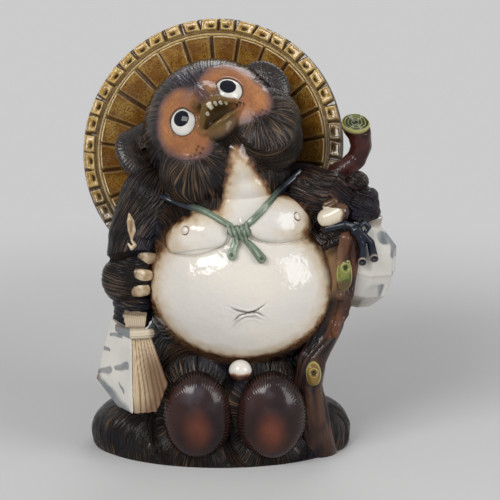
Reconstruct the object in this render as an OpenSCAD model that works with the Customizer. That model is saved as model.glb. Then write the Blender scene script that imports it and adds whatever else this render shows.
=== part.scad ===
// Standing raccoon-dog figure of glazed stoneware, a shelf ornament.
// Every piece is pressed or rolled clay, luted to its neighbour with slip and fired.
// The figure faces -Y. Its origin is on the table, in the middle of its outer box.

/* [Body shell] */
// Width of the round belly ball of the shell
belly_w = 186; // [172:1:198]
// Depth of the belly ball, front to back
belly_d = 142; // [130:1:152]
// Height of the belly ball
belly_h = 158; // [148:1:168]
// Height of the belly ball's middle above the table
belly_z = 156; // [152:1:160]
// Width of the chest across the breasts
chest_w = 162; // [152:1:172]
// Depth of the chest
chest_d = 112; // [104:1:120]
// Height of the chest form
chest_h = 116; // [110:1:122]
// Radius of each shoulder
shoulder_r = 37; // [34:0.5:40]
// Width of the neck under the head
neck_w = 104; // [96:1:112]
// Width of the hips
hips_w = 184; // [174:1:196]
// Depth of the hips
hips_d = 148; // [138:1:156]
// Width of the foot of the shell on the table
foot_w = 250; // [240:1:258]
// Depth of the foot of the shell on the table
foot_d = 168; // [160:1:176]
// Thickness of the pressed clay wall
wall = 9; // [7:0.5:11]
// Place of the seam between the front and the back half
seam_y = 4; // [0:1:8]

/* [Belly and chest] */
// Width of the smooth white belly slab
slab_w = 182; // [170:1:190]
// Height of the white belly slab
slab_h = 138; // [130:1:144]
// Thickness of the laid-on slabs
slab_t = 3.5; // [2.5:0.5:5]
// Width of one breast
breast_w = 68; // [60:1:76]
// Height of one breast
breast_h = 44; // [38:1:50]
// How far a breast stands proud of the slab
breast_rise = 5; // [3.5:0.5:7]
// Diameter of a nipple
nipple_d = 9; // [7:0.5:11]
// Length of one navel crease
crease_l = 36; // [28:1:44]
// Thickness of the raised navel creases
crease_t = 3; // [2:0.5:4]

/* [Head] */
// Diameter of the skull
head_d = 134; // [128:1:140]
// Lift of the face towards the sky, in degrees
head_nod = 25.6; // [20:0.2:30]
// Roll of the head to one shoulder, in degrees
head_roll = 32.9; // [28:0.1:38]
// Turn of the face to one side, in degrees
head_yaw = 14.5; // [10:0.5:19]
// Diameter of the cheek pads
cheek_d = 72; // [66:1:78]
// Diameter of an eyeball
eye_d = 27; // [24:0.5:30]
// Distance between the eyes' middles
eye_gap = 49; // [45:0.5:53]
// Diameter of a raised pupil
pupil_d = 14; // [11:0.5:17]
// Length of the snout in front of the skull
snout_l = 24; // [20:0.5:28]
// Width of the snout at its root
snout_w = 40; // [34:0.5:46]
// Width of the lower jaw
jaw_w = 40; // [34:0.5:44]
// Length of one upper tooth
tooth_l = 6; // [4:0.5:8]
// Number of upper teeth
tooth_n = 5; // [4:1:7]
// Height of an ear
ear_h = 50; // [44:1:56]
// Width of an ear
ear_w = 40; // [34:1:46]
// Number of pleats pressed into an ear
pleat_n = 8; // [5:1:10]

/* [Straw hat] */
// Diameter of the hat over its rim
hat_d = 252; // [244:1:258]
// Depth of the hat's cone
hat_depth = 54; // [48:1:60]
// Thickness of the hat's wall
hat_t = 7; // [5:0.5:9]
// Width of the rolled rim
rim_w = 16; // [13:0.5:19]
// Thickness of the rolled rim
rim_t = 14; // [11:0.5:17]
// Number of straw panels round the hat
panel_n = 25; // [20:1:30]
// Gap between two panels at the rim
panel_gap = 3; // [2:0.5:4]
// Number of stitched pads on the rim
pad_n = 42; // [36:1:48]
// Tip of the hat up from facing forwards, in degrees
hat_pitch = 20; // [17:0.5:23]
// Turn of the hat to one side, in degrees
hat_yaw = 10; // [7:0.5:13]

/* [Neck cord] */
// Thickness of the neck cord
cord_d = 6; // [5:0.5:8]
// Length of the knot in the neck cord
knot_l = 24; // [20:1:28]
// Thickness of the flared cord ends
tassel_d = 9; // [8:0.5:11]

/* [Arms] */
// Thickness of the arm that holds the ledger
ledger_arm_d = 52; // [46:1:58]
// Width of the paw on the ledger
ledger_paw_w = 48; // [42:1:54]
// Thickness of the arm that holds the flask
flask_arm_d = 46; // [42:1:52]
// Width of the fist that holds the flask's cord
fist_w = 34; // [30:1:38]
// Length of a claw
claw_l = 15; // [12:1:18]
// Thickness of a claw
claw_d = 8; // [6:0.5:10]
// Number of claws on the ledger
claw_n = 3; // [2:1:4]

/* [Ledger] */
// Length of the ledger's front edge
ledger_h = 70; // [64:1:76]
// Spread of the page edges at the bottom
pages_w = 31; // [27:1:35]
// Width of the page edges at the top
pages_top_w = 17; // [14:1:20]
// Spread of the cover at the bottom
cover_w = 36; // [32:1:40]
// Width of the cover at the top
cover_top_w = 22; // [18:1:26]
// Rise of the two outer bottom corners over the front edge's foot
corner_rise = 25; // [20:1:30]
// Depth of the ledger, from the front edge to the back
ledger_d = 54; // [48:1:60]
// Thickness of the ledger's cover
cover_t = 3; // [2:0.5:4]
// Number of page ribs
page_n = 9; // [6:1:12]
// Height of the bound bundle over the band
bundle_h = 17; // [13:1:21]
// Height of the paper band round the ledger's neck
band_h = 8; // [6:0.5:10]

/* [Flask] */
// Diameter of the flask's belly
flask_d = 68; // [62:1:74]
// Height of the flask without its neck
flask_h = 74; // [68:1:80]
// Diameter of the flask's neck
flask_neck_d = 20; // [17:1:23]
// Height of the flask's neck
flask_neck_h = 12; // [9:1:15]
// Number of flat facets round the flask
facet_n = 9; // [8:1:12]
// Diameter of the large cord toggle
toggle_d = 17; // [15:0.5:19]
// Length of the large cord toggle
toggle_l = 30; // [26:1:34]
// Thickness of the flask's cord
flask_cord_d = 7; // [6:0.5:8]

/* [Tree stump] */
// Thickness of the tree trunk
trunk_d = 27; // [24:0.5:31]
// Spread of the trunk's root on the table
root_d = 44; // [38:1:50]
// Thickness of the side branch
branch_d = 26; // [24:0.5:29]
// Thickness of the pale cut slice on the branch
slice_t = 3; // [2:0.5:4]
// Thickness of the bark strands
strand_d = 8; // [6:0.5:10]

/* [Bags and tail] */
// Width of one round money bag
bag_w = 64; // [58:1:66]
// Height of one money bag
bag_h = 84; // [78:1:90]
// Depth of a money bag in front of the shell
bag_d = 46; // [40:1:50]
// Diameter of the knob above the bags
knob_d = 20; // [17:0.5:23]
// Width of the furred foot on the ledger's side
paw_mound_w = 88; // [80:1:92]
// Width of the tail
tail_w = 46; // [40:1:52]

/* [Hidden] */

// Facets round the big forms, the middling ones, the small ones, the cords and the hollows
big_fn = 24;
mid_fn = 14;
small_fn = 8;
rope_fn = 10;
hollow_fn = 14;
// A length longer than the whole figure, for cutting planes
far = 600;

// The figure is drawn round the belly's middle line, then shifted so that its box is centred
shift = [1.5, -5.8, 0];

// Middles of the forms that make the shell
belly_at = [4, -8, belly_z];
chest_at = [-4, -6, belly_z + 50];
shoulder_left_at = [-76, 4, belly_z + 72];
shoulder_right_at = [60, 4, belly_z + 80];
neck_at = [-4, -4, belly_z + 104];
neck_d = 92;
neck_h = 68;
back_at = [-4, 22, belly_z - 8];
back_w = 172;
back_d = 116;
back_h = 186;
hips_at = [-16, 4, 62];
hips_h = 136;
foot_at = [-17, 10, 0];
foot_h = 118;
rump_at = [-14, 34, 74];
rump_w = 164;
rump_d = 104;
rump_h = 136;

body_blobs = [
    [belly_at, [belly_w, belly_d, belly_h] / 2],
    [chest_at, [chest_w, chest_d, chest_h] / 2],
    [shoulder_left_at, [1, 1, 1] * shoulder_r],
    [shoulder_right_at, [1, 1, 0.95] * shoulder_r],
    [neck_at, [neck_w, neck_d, neck_h] / 2],
    [back_at, [back_w, back_d, back_h] / 2],
    [hips_at, [hips_w, hips_d, hips_h] / 2],
    [foot_at, [foot_w, foot_d, foot_h] / 2],
    [rump_at, [rump_w, rump_d, rump_h] / 2]
];

// Depth of an ellipsoid's front at a place on it, or far behind where there is none
function front_of(c, r, x, z) =
    let (k = 1 - pow((x - c[0]) / r[0], 2) - pow((z - c[2]) / r[2], 2))
    k > 0 ? c[1] - r[1] * sqrt(k) : far;
// Depth of the shell's front at a place on it
function shell_front(x, z) = min([for (b = body_blobs) front_of(b[0], b[1], x, z)]);
// A point on the shell's front, a little out of it
function on_shell(x, z, out) = [x, shell_front(x, z) - out, z];

module blob(at, size, fn = mid_fn) {
    translate(at)
        hull()
            scale(size / 2)
                sphere(1, $fn = fn);
}

// A limb or a rope through a list of points, with one diameter for each point
module limb(points, sizes, fn = mid_fn) {
    for (i = [0:len(points) - 2])
        hull() {
            translate(points[i]) sphere(d = sizes[i], $fn = fn);
            translate(points[i + 1]) sphere(d = sizes[i + 1], $fn = fn);
        }
}

module rope(points, thick, fn = rope_fn) {
    limb(points, [for (p = points) thick], fn);
}

module below_table() {
    translate([-far / 2, -far / 2, -far])
        cube([far, far, far]);
}

// The outer form of the shell, grown or shrunk by a named amount
module body_form(grow = 0, fn = big_fn) {
    for (b = body_blobs)
        blob(b[0], b[1] * 2 + [1, 1, 1] * 2 * grow, fn);
}

module half_space(front = true) {
    translate([-far / 2, front ? seam_y - far : seam_y, 0])
        cube([far, far, far]);
}

module shell_half(front) {
    difference() {
        intersection() {
            body_form();
            half_space(front);
        }
        body_form(-wall, hollow_fn);
        below_table();
    }
}

module body_front() {
    color("#2a1d18") shell_half(true);
}

module body_back() {
    color("#241915") shell_half(false);
}

// Flat outline of the belly slab, seen from the front
slab_at = [3, -far / 2, belly_z + 10];
slab_fn = 40;
module slab_outline() {
    translate(slab_at)
        rotate([90, 0, 0])
            linear_extrude(far, center = true)
                scale([slab_w / 2, slab_h / 2])
                    circle(1, $fn = slab_fn);
}

// The slab lies on the front, up to where the belly ball is widest
module belly_lift() {
    intersection() {
        body_form(slab_t);
        slab_outline();
        translate([-far / 2, belly_at[1] - far, 0])
            cube([far, far, far]);
    }
}

module belly_slab() {
    color("#e6e0d6")
        difference() {
            belly_lift();
            body_form();
        }
}

// White throat between the cheeks, from the chin down to the cord
throat_top = [-4, belly_z + 140];
throat_low_left = [-20, belly_z + 90];
throat_low_right = [30, belly_z + 92];
throat_top_d = 18;
throat_low_d = 26;
module throat_outline() {
    rotate([90, 0, 0])
        linear_extrude(far)
            hull() {
                translate(throat_top) circle(d = throat_top_d, $fn = mid_fn);
                translate(throat_low_left) circle(d = throat_low_d, $fn = mid_fn);
                translate(throat_low_right) circle(d = throat_low_d, $fn = mid_fn);
            }
}

module throat_lift() {
    intersection() {
        union() {
            body_form(slab_t);
            head_form(slab_t);
        }
        throat_outline();
    }
}

module throat_slab() {
    color("#e6e0d6")
        difference() {
            throat_lift();
            body_form();
            head_form();
            slab_outline();
            cheek_form(-1);
            cheek_form(1);
            jaw_form();
        }
}

// Breasts sit on the slab, their lower edges hanging a little
breast_left = [-48, belly_z + 62];
breast_right = [49, belly_z + 71];
module breast_form(at) {
    blob([at[0], shell_front(at[0], at[1]) + slab_t, at[1]],
         [breast_w, 2 * (breast_rise + slab_t * 2), breast_h]);
}

module breasts() {
    color("#ddd6ca")
        difference() {
            for (at = [breast_left, breast_right])
                breast_form(at);
            body_form();
            belly_lift();
            throat_lift();
        }
}

nipple_shift = [2, -slab_t * 0.5, 2];
module nipples() {
    color("#d8a57a")
        difference() {
            for (at = [breast_left, breast_right])
                translate(on_shell(at[0], at[1], breast_rise) + nipple_shift)
                    sphere(d = nipple_d, $fn = small_fn);
            breast_form(breast_left);
            breast_form(breast_right);
            body_form(slab_t);
        }
}

// Two curved clay lines pressed on under the middle of the belly
crease_at = [5.5, belly_z - 4];
crease_rise = 5;
crease_gap = 2;
module navel_creases() {
    color("#8a4a2c")
        difference() {
            for (side = [-1, 1])
                rope([for (k = [-1:0.5:1])
                    let (x = crease_at[0] + k * crease_l / 2,
                         z = crease_at[1] + side * (crease_gap + crease_rise * k * k))
                    on_shell(x, z, slab_t)], crease_t, small_fn);
            body_form();
            belly_lift();
        }
}

// The head is drawn facing -Y about its own middle, then turned and set on the neck
head_up = 144;
head_at = [-21.8, 12, belly_z + head_up];
head_turn = [-head_nod, -head_roll, head_yaw];
module on_head() {
    translate(head_at)
        rotate(head_turn)
            children();
}

skull_r = head_d / 2;
jowl_w = 122;
jowl_d = 112;
jowl_h = 96;
jowl_at = [0, -6, -26];
module head_form(grow = 0, fn = big_fn) {
    on_head() {
        blob([0, 0, 0], [1, 1, 1] * (head_d + 2 * grow), fn);
        blob(jowl_at, [jowl_w, jowl_d, jowl_h] + [1, 1, 1] * 2 * grow, fn);
    }
}

// Hollow of the head, which keeps a full wall over the shell's top
module head_hollow() {
    difference() {
        head_form(-wall, hollow_fn);
        body_form(wall, hollow_fn);
    }
}

pin_vent_d = 3;
pin_vent_turn = -120;
// The main locks of the combed clay, long low ridges that run back from the face
lock_rise = 1.3;
lock_d = 9;
lock_fn = 4;
crown_locks = [-42, -17, 8, 33];
crown_arc = [57, 78, 99];
cheek_locks = [84, 112];
cheek_arc = [48, 66, 84];
module lock(ball_d, arc, turn) {
    middle = ball_d / 2 + lock_rise - lock_d / 2;
    rotate([0, turn, 0])
        limb([for (a = arc) [0, -cos(a), sin(a)] * middle], [for (a = arc) lock_d], lock_fn);
}

module head_locks() {
    on_head()
        for (turn = crown_locks)
            lock(head_d, crown_arc, turn);
}

module head() {
    color("#33231c")
        difference() {
            union() {
                head_form();
                difference() {
                    head_locks();
                    hat_block();
                    eye_form(-1);
                    eye_form(1);
                }
            }
            head_hollow();
            body_form();
            on_head()
                rotate([pin_vent_turn, 0, 0])
                    cylinder(d = pin_vent_d, h = head_d, $fn = mid_fn);
        }
}

cheek_out = 37;
cheek_fore = 20;
cheek_drop = 25;
module cheek_form(side, grow = 0) {
    on_head()
        blob([side * cheek_out, -cheek_fore, -cheek_drop], [1, 1, 0.94] * (cheek_d + 2 * grow));
}

module cheek_lock_form(side) {
    on_head()
        translate([side * cheek_out, -cheek_fore, -cheek_drop])
            for (turn = cheek_locks)
                lock(cheek_d, cheek_arc, side * turn);
}

module cheek(side) {
    color("#2c1e18")
        difference() {
            union() {
                cheek_form(side);
                cheek_lock_form(side);
            }
            body_form();
            head_form();
            head_locks();
            if (side > 0) cheek_form(-1);
            ledger_arm_form();
            snout_form();
            jaw_form();
            eye_form(-1);
            eye_form(1);
        }
}

module cheek_left() {
    cheek(-1);
}

module cheek_right() {
    cheek(1);
}

// The snout runs from between the eyes to the nose
snout_up = 13;
snout_rise = 4;
snout_fall = 3;
snout_root = [snout_w, 28, 30];
snout_tip_d = 17;
face_sunk = 12;
module snout_form() {
    on_head()
        hull() {
            blob([0, -skull_r + face_sunk, snout_up + snout_rise], snout_root);
            blob([0, -skull_r - snout_l + snout_tip_d / 2, snout_up - snout_fall],
                 [1.1, 1, 0.8] * snout_tip_d);
        }
}

module snout() {
    color("#5d3a24")
        difference() {
            snout_form();
            head_form();
            eye_form(-1);
            eye_form(1);
        }
}

nose_d = 13;
nose_sunk = 2;
nose_fall = 1;
module nose() {
    color("#4a3f48")
        difference() {
            on_head()
                blob([0, -skull_r - snout_l + nose_sunk, snout_up - nose_fall],
                     [1, 0.8, 0.75] * nose_d, rope_fn);
            snout_form();
        }
}

// The open jaw hangs below the snout
jaw_drop = 11;
jaw_l = 14;
jaw_fall = 1;
jaw_root = [jaw_w, 24, 16];
jaw_tip = [jaw_w * 0.46, 13, 9];
module jaw_form() {
    on_head()
        hull() {
            blob([0, -skull_r + face_sunk, -jaw_drop], jaw_root);
            blob([0, -skull_r - jaw_l + jaw_tip[1] / 2, -jaw_drop - jaw_fall], jaw_tip);
        }
}

module lower_jaw() {
    color("#7c4f2e")
        difference() {
            jaw_form();
            head_form();
            snout_form();
        }
}

tongue_root = [22, 14, 9];
tongue_tip = [13, 12, 5];
tongue_sunk = 4;
module tongue_form() {
    on_head()
        hull() {
            blob([0, -skull_r + tongue_sunk, -jaw_drop + tongue_root[2]], tongue_root);
            blob([0, -skull_r - jaw_l + tongue_sunk, -jaw_drop + tongue_tip[2]], tongue_tip);
        }
}

module tongue() {
    color("#7d5b33")
        difference() {
            tongue_form();
            head_form();
            jaw_form();
            snout_form();
        }
}

// Upper teeth stand in an arc under the snout's lip
tooth_d = 4.6;
tooth_arc_w = 20;
tooth_arc_d = 7;
tooth_sunk = 10;
tooth_lean = 2;
tooth_drop = 7;
function tooth_root(k) =
    [k * tooth_arc_w / 2, -skull_r - snout_l + tooth_sunk + tooth_arc_d * k * k, snout_up - tooth_drop];

module upper_teeth() {
    color("#e9dfc4")
        difference() {
            on_head()
                for (i = [0:tooth_n - 1])
                    let (root = tooth_root(2 * i / (tooth_n - 1) - 1))
                    hull() {
                        translate(root)
                            sphere(d = tooth_d, $fn = small_fn);
                        translate(root - [0, tooth_lean, tooth_l])
                            sphere(d = tooth_d * 0.6, $fn = small_fn);
                    }
            snout_form();
            tongue_form();
            jaw_form();
            head_form();
        }
}

// Eyeballs are sunk into the skull, pupils are raised buttons on them
eye_up = 11;
eye_sunk = 13.5;
eye_fore = skull_r - eye_sunk;
eye_flat = 0.86;
module eye_form(side) {
    on_head()
        blob([side * eye_gap / 2, -eye_fore, eye_up], [1, eye_flat, 1] * eye_d);
}

module eyes() {
    color("#efece6")
        difference() {
            union() {
                eye_form(-1);
                eye_form(1);
            }
            head_form();
        }
}

// Both pupils look up and to the same side
pupil_side = 2.5;
pupil_up = 3.5;
pupil_sunk = 4;
pupil_deep = 11;
module pupils() {
    color("#0c0b0c")
        difference() {
            on_head()
                for (side = [-1, 1])
                    blob([side * eye_gap / 2 + pupil_side,
                          -eye_fore - eye_d * eye_flat / 2 + pupil_sunk, eye_up + pupil_up],
                         [pupil_d, pupil_deep, pupil_d]);
            eye_form(-1);
            eye_form(1);
            head_form();
            snout_form();
        }
}

// Ears are pinched cups with pleats in them
ear_left_at = [-72, 0, 24];
ear_right_at = [62, -10, 6];
ear_left_turn = [0, 14, 34];
ear_right_turn = [0, -10, -8];
ear_t = 17;
ear_cup_fall = 2;
pleat_spread = 300;
pleat_d = 6;
pleat_low_d = 3;
pleat_fn = 6;
module ear(at, turn) {
    color("#2a1c17")
        difference() {
            on_head()
                translate(at)
                    rotate(turn) {
                        difference() {
                            blob([0, 0, 0], [ear_w, ear_t, ear_h]);
                            blob([0, -ear_t * 0.5, -ear_cup_fall], [ear_w * 0.7, ear_t * 0.9, ear_h * 0.7]);
                        }
                        for (i = [0:pleat_n - 1])
                            rotate([0, pleat_spread * (i / (pleat_n - 1) - 0.5), 0])
                                hull() {
                                    translate([0, -ear_t * 0.22, ear_h * 0.38])
                                        sphere(d = pleat_d, $fn = pleat_fn);
                                    translate([0, -ear_t * 0.1, ear_h * 0.14])
                                        sphere(d = pleat_low_d, $fn = pleat_fn);
                                }
                    }
            head_form();
            body_form();
            cheek_form(-1);
            cheek_form(1);
            hat_block();
            ledger_arm_form();
        }
}

module ear_left() {
    ear(ear_left_at, ear_left_turn);
}

module ear_right() {
    ear(ear_right_at, ear_right_turn);
}

// The hat is drawn opening upwards, with its rim in the plane z = 0, then tipped
hat_from_head = [-4.2, 28, -19.6];
hat_at = head_at + hat_from_head;
module on_hat() {
    translate(hat_at)
        rotate([0, 0, -hat_yaw])
            rotate([90 - hat_pitch, 0, 0])
                children();
}

hat_r = hat_d / 2;
rim_in = hat_r - rim_w;
hat_facets = 48;
cone_slope = atan(hat_depth / rim_in);

module hat_cuts() {
    body_form();
    head_form();
    cheek_form(-1);
    cheek_form(1);
}

// The cone's outer tip is rounded off a little
tip_r = 10;
tip_rise = 2;
module hat_cone() {
    color("#6d4a16")
        difference() {
            on_hat()
                rotate_extrude($fn = hat_facets)
                    polygon([[0, -hat_depth - hat_t], [tip_r, -hat_depth - hat_t + tip_rise],
                             [rim_in, -hat_t], [rim_in, 0], [0, -hat_depth]]);
            hat_cuts();
        }
}

// One flat straw panel, a wedge that lies on the inside of the cone
panel_in = 12;
panel_t = 3;
panel_edge = 1;
module panel() {
    half = 180 / panel_n;
    long = (rim_in - panel_edge) / cos(cone_slope);
    translate([0, 0, -hat_depth])
        rotate([0, -cone_slope, 0])
            linear_extrude(panel_t)
                polygon([
                    [panel_in, -panel_in * tan(half) + panel_gap / 4],
                    [long, -long * tan(half) * cos(cone_slope) + panel_gap / 2],
                    [long, long * tan(half) * cos(cone_slope) - panel_gap / 2],
                    [panel_in, panel_in * tan(half) - panel_gap / 4]
                ]);
}

module hat_panels() {
    color("#a8701f")
        difference() {
            on_hat()
                for (i = [0:panel_n - 1])
                    rotate(i * 360 / panel_n)
                        panel();
            hat_cuts();
            on_hat()
                difference() {
                    translate([0, 0, -far])
                        cylinder(r = far, h = far + rim_t, $fn = small_fn);
                    translate([0, 0, -hat_depth])
                        cylinder(r1 = 0, r2 = rim_in * 2, h = hat_depth * 2, $fn = hat_facets);
                }
        }
}

// The rolled rim is one ring, thicker than the cone, with a bead on its inner edge
bead_d = 4;
rim_sunk = 2;
module rim_profile() {
    translate([rim_in, -rim_t / 2 - rim_sunk])
        polygon([[0, 0], [rim_w * 0.8, 0], [rim_w, rim_t * 0.35], [rim_w, rim_t * 0.75],
                 [rim_w * 0.6, rim_t * 0.62], [0, rim_t * 0.55]]);
}

module hat_rim() {
    color("#b98a35")
        difference() {
            on_hat()
                rotate_extrude($fn = hat_facets) {
                    rim_profile();
                    translate([rim_in + bead_d / 2, rim_t * 0.05])
                        circle(d = bead_d, $fn = small_fn);
                }
            hat_cuts();
        }
}

// Pads of straw stitched round the rim
pad_share = 0.8;
pad_w = 2 * PI * (hat_r - rim_w / 2) / pad_n * pad_share;
pad_out = 0.6;
module pad() {
    translate([hat_r - rim_w * 0.42, 0, rim_t * 0.14])
        hull() {
            cube([rim_w * 0.62, pad_w, rim_t * 0.5], center = true);
            translate([pad_out, 0, rim_t * 0.14])
                cube([rim_w * 0.4, pad_w * 0.6, rim_t * 0.5], center = true);
        }
}

module rim_pads() {
    color("#c99a42")
        difference() {
            on_hat()
                difference() {
                    for (i = [0:pad_n - 1])
                        rotate(i * 360 / pad_n)
                            pad();
                    rotate_extrude($fn = hat_facets)
                        rim_profile();
                }
            hat_cuts();
        }
}

// The cord lies on the chest from both cheeks to a knot under the throat
cord_out = cord_d * 0.3 + slab_t / 2;
knot_x = 1;
knot_z = belly_z + 64;
knot_at = on_shell(knot_x, knot_z, knot_l * 0.2);
module knot_form() {
    blob(knot_at, [knot_l, knot_l * 0.6, knot_l * 0.66]);
}

module neck_cord(route) {
    color("#5d6b52")
        difference() {
            rope([for (p = route) on_shell(p[0], knot_z + p[1], cord_out)], cord_d);
            body_form();
            throat_lift();
            ledger_arm_form();
            flask_arm_form();
            knot_form();
            belly_lift();
            breast_form(breast_left);
            breast_form(breast_right);
            head_form();
            for (side = [-1, 1]) {
                cheek_form(side);
                cheek_lock_form(side);
            }
        }
}

// Places along the two cords: across the chest, and up from the knot
cord_route_left = [[-88, 36], [-74, 27], [-54, 20], [-32, 18], [-12, 9], [0, 0]];
cord_route_right = [[56, 46], [42, 35], [28, 25], [15, 13], [2, 1]];
module neck_cord_left() {
    neck_cord(cord_route_left);
}

module neck_cord_right() {
    neck_cord(cord_route_right);
}

module cord_knot() {
    color("#55644c")
        difference() {
            knot_form();
            body_form();
            belly_lift();
            breast_form(breast_left);
            breast_form(breast_right);
        }
}

// The two ends hang from the knot and flare
end_routes = [[[-1, -4], [-4, -11], [-5, -19]], [[4, -4], [12, -12], [20, -21]]];
module cord_ends() {
    color("#5d6b52")
        difference() {
            for (route = end_routes)
                limb([for (p = route) on_shell(p[0], knot_z + p[1], slab_t + cord_d * 0.35)],
                     [cord_d, cord_d, tassel_d], small_fn);
            body_form();
            belly_lift();
            knot_form();
        }
}

// The arm on the ledger's side hangs down to the paw
ledger_shoulder = [-82, -6, belly_z + 82];
ledger_elbow = [-97, -16, belly_z + 50];
ledger_wrist = [-101, -24, belly_z + 22];
ledger_paw_at = ledger_wrist + [-1, -10, -8];
module ledger_arm_form() {
    limb([ledger_shoulder, ledger_elbow, ledger_wrist],
         [ledger_arm_d * 1.1, ledger_arm_d * 0.9, ledger_arm_d * 0.74]);
}

module ledger_arm() {
    color("#2b1d18")
        difference() {
            ledger_arm_form();
            body_form();
            belly_lift();
            hat_block();
            head_form();
        }
}

// The hat's whole thickness, for what meets it from the front
module hat_block() {
    on_hat()
        rotate_extrude($fn = hat_facets)
            polygon([[0, -hat_depth - hat_t], [rim_in, -rim_t / 2 - rim_sunk], [hat_r, -rim_t / 2],
                     [hat_r, rim_t * 0.6], [rim_in, rim_t * 0.6], [0, -hat_depth + panel_t + panel_edge]]);
}

paw_deep = 40;
paw_high = 58;
module ledger_paw_form() {
    blob(ledger_paw_at, [ledger_paw_w, paw_deep, paw_high]);
}

module ledger_paw() {
    color("#2b1d18")
        difference() {
            ledger_paw_form();
            ledger_arm_form();
            body_form();
            belly_lift();
            ledger_block();
        }
}

// Claws lie over the ledger side of the paw, pointing to the belly
claw_first = [14, -16, 13];
claw_step = [-1.5, 0, -14];
claw_tip = [claw_l * 0.7, 4, -3];
module ledger_claws() {
    color("#cdbb97")
        difference() {
            for (i = [0:claw_n - 1])
                translate(ledger_paw_at + claw_first + i * claw_step)
                    hull() {
                        sphere(d = claw_d, $fn = small_fn);
                        translate(claw_tip) sphere(d = claw_d * 0.6, $fn = small_fn);
                    }
            ledger_paw_form();
            body_form();
            belly_lift();
        }
}

// Pale almond-shaped slit on the arm, where the fur parts
slit_l = 26;
slit_w = 9;
slit_deep = 14;
slit_at = ledger_elbow + [-2, -21, 10];
slit_turn = [0, 8, 0];
module sleeve_slit() {
    color("#cdbb97")
        difference() {
            translate(slit_at)
                rotate(slit_turn)
                    blob([0, 0, 0], [slit_w, slit_deep, slit_l]);
            ledger_arm_form();
        }
}

// The ledger hangs from the paw with its front edge out and its pages fanned
ledger_foot = [-95, -79, 54];
ledger_lean = 8;
edge_d = 2;
module ledger_hull(corners) {
    translate(ledger_foot)
        hull()
            for (c = corners)
                translate(c) sphere(d = edge_d, $fn = small_fn);
}

// Corners round the ledger, from its front edge's foot
edge_foot = [0, 0, 0];
edge_top = [-1, ledger_lean, ledger_h];
foot_share = 0.68;
pages_foot = [pages_w * foot_share, 3, 1];
pages_tip = [pages_w, 12, corner_rise];
pages_top = [pages_top_w - 1, ledger_lean + 6, ledger_h];
cover_foot = [-cover_w * 0.42, 10, 4];
cover_tip = [-cover_w, 28, corner_rise];
cover_top = [-cover_top_w, 34, ledger_h + 12];
back_low = [12, ledger_d, corner_rise];
back_top = [6, ledger_d - 10, ledger_h - 2];
cover_neck = cover_top - [0, 0, 14];
cover_back = cover_top - [2, 0, 32];

module ledger_block() {
    ledger_hull([edge_foot, edge_top, pages_foot, pages_tip, pages_top,
                 cover_foot, cover_tip, cover_neck, back_low, back_top]);
}

// Grooves between the page ribs run from the top out to the fanned bottom
groove_d = 1.8;
groove_fn = 6;
function page_low(k) =
    k < foot_share ? pages_foot * k / foot_share
    : pages_foot + (pages_tip - pages_foot) * (k - foot_share) / (1 - foot_share);

module page_grooves() {
    for (i = [1:page_n - 1])
        translate(ledger_foot + [0, -edge_d / 2, 0])
            hull() {
                translate(page_low(i / page_n) - [0, 0, edge_d]) sphere(d = groove_d, $fn = groove_fn);
                translate(edge_top + (pages_top - edge_top) * i / page_n)
                    sphere(d = groove_d, $fn = groove_fn);
            }
}

module ledger_pages() {
    color("#b9a283")
        difference() {
            ledger_block();
            page_grooves();
            body_form();
            belly_lift();
            foot_form(-1);
        }
}

module cover_form() {
    translate([-0.8, -0.5, 0] * cover_t)
        ledger_hull([edge_foot, edge_top, cover_foot, cover_tip, cover_top, cover_back]);
}

module ledger_cover() {
    color("#d9d8d6")
        difference() {
            cover_form();
            ledger_block();
            band_form();
            ledger_paw_form();
            body_form();
            foot_form(-1);
        }
}

// The band's four lower corners, with the same four over them
band_out = 1.5;
band_low = [edge_top, pages_top + [band_out, 0, 0], [-cover_top_w * 0.5, 22, ledger_h], [0, 30, ledger_h]];
module band_form() {
    translate([0, -band_out, edge_d / 2])
        ledger_hull([for (c = band_low, up = [0, band_h]) c + [0, 0, up]]);
}

module ledger_band() {
    color("#d8cbb0")
        difference() {
            band_form();
            ledger_block();
            ledger_paw_form();
            body_form();
            belly_lift();
        }
}

// The bundle leans back into the paw
bundle_low = [edge_top + [1, 3, band_h], pages_top + [-1, 3, band_h],
              [-cover_top_w * 0.4, 24, ledger_h], [0, 34, ledger_h]];
bundle_high = [edge_top + [-3, 12, band_h + bundle_h], pages_top + [-4, 8, band_h + bundle_h],
               [0, 34, ledger_h + bundle_h]];
module ledger_top() {
    color("#8c7659")
        difference() {
            ledger_hull(concat(bundle_low, bundle_high));
            band_form();
            cover_form();
            ledger_block();
            ledger_paw_form();
            ledger_arm_form();
            body_form();
            belly_lift();
        }
}

// The other arm reaches out sideways, with the fist over the flask
flask_shoulder = [62, -8, belly_z + 88];
flask_elbow = [86, -20, belly_z + 90];
fist_at = [114, -28, belly_z + 82];
flask_wrist = fist_at + [-12, 4, 2];
module flask_arm_form() {
    limb([flask_shoulder, flask_elbow, flask_wrist],
         [flask_arm_d * 1.1, flask_arm_d * 0.95, flask_arm_d * 0.8]);
}

module flask_arm() {
    color("#2b1d18")
        difference() {
            flask_arm_form();
            body_form();
            belly_lift();
            breast_form(breast_right);
            head_form();
            cheek_form(1);
            hat_block();
        }
}

// Three knuckles stand one under the other on the fist
knuckle_n = 3;
knuckle_first = [8, -8, 12];
knuckle_step = [0, 2, -12];
module fist_form() {
    blob(fist_at, [fist_w, fist_w, fist_w * 1.1]);
    for (k = [0:knuckle_n - 1])
        blob(fist_at + knuckle_first + k * knuckle_step,
             [fist_w * 0.5, fist_w * 0.6, fist_w * 0.4], small_fn);
}

module fist() {
    color("#241813")
        difference() {
            fist_form();
            flask_arm_form();
        }
}

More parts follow.
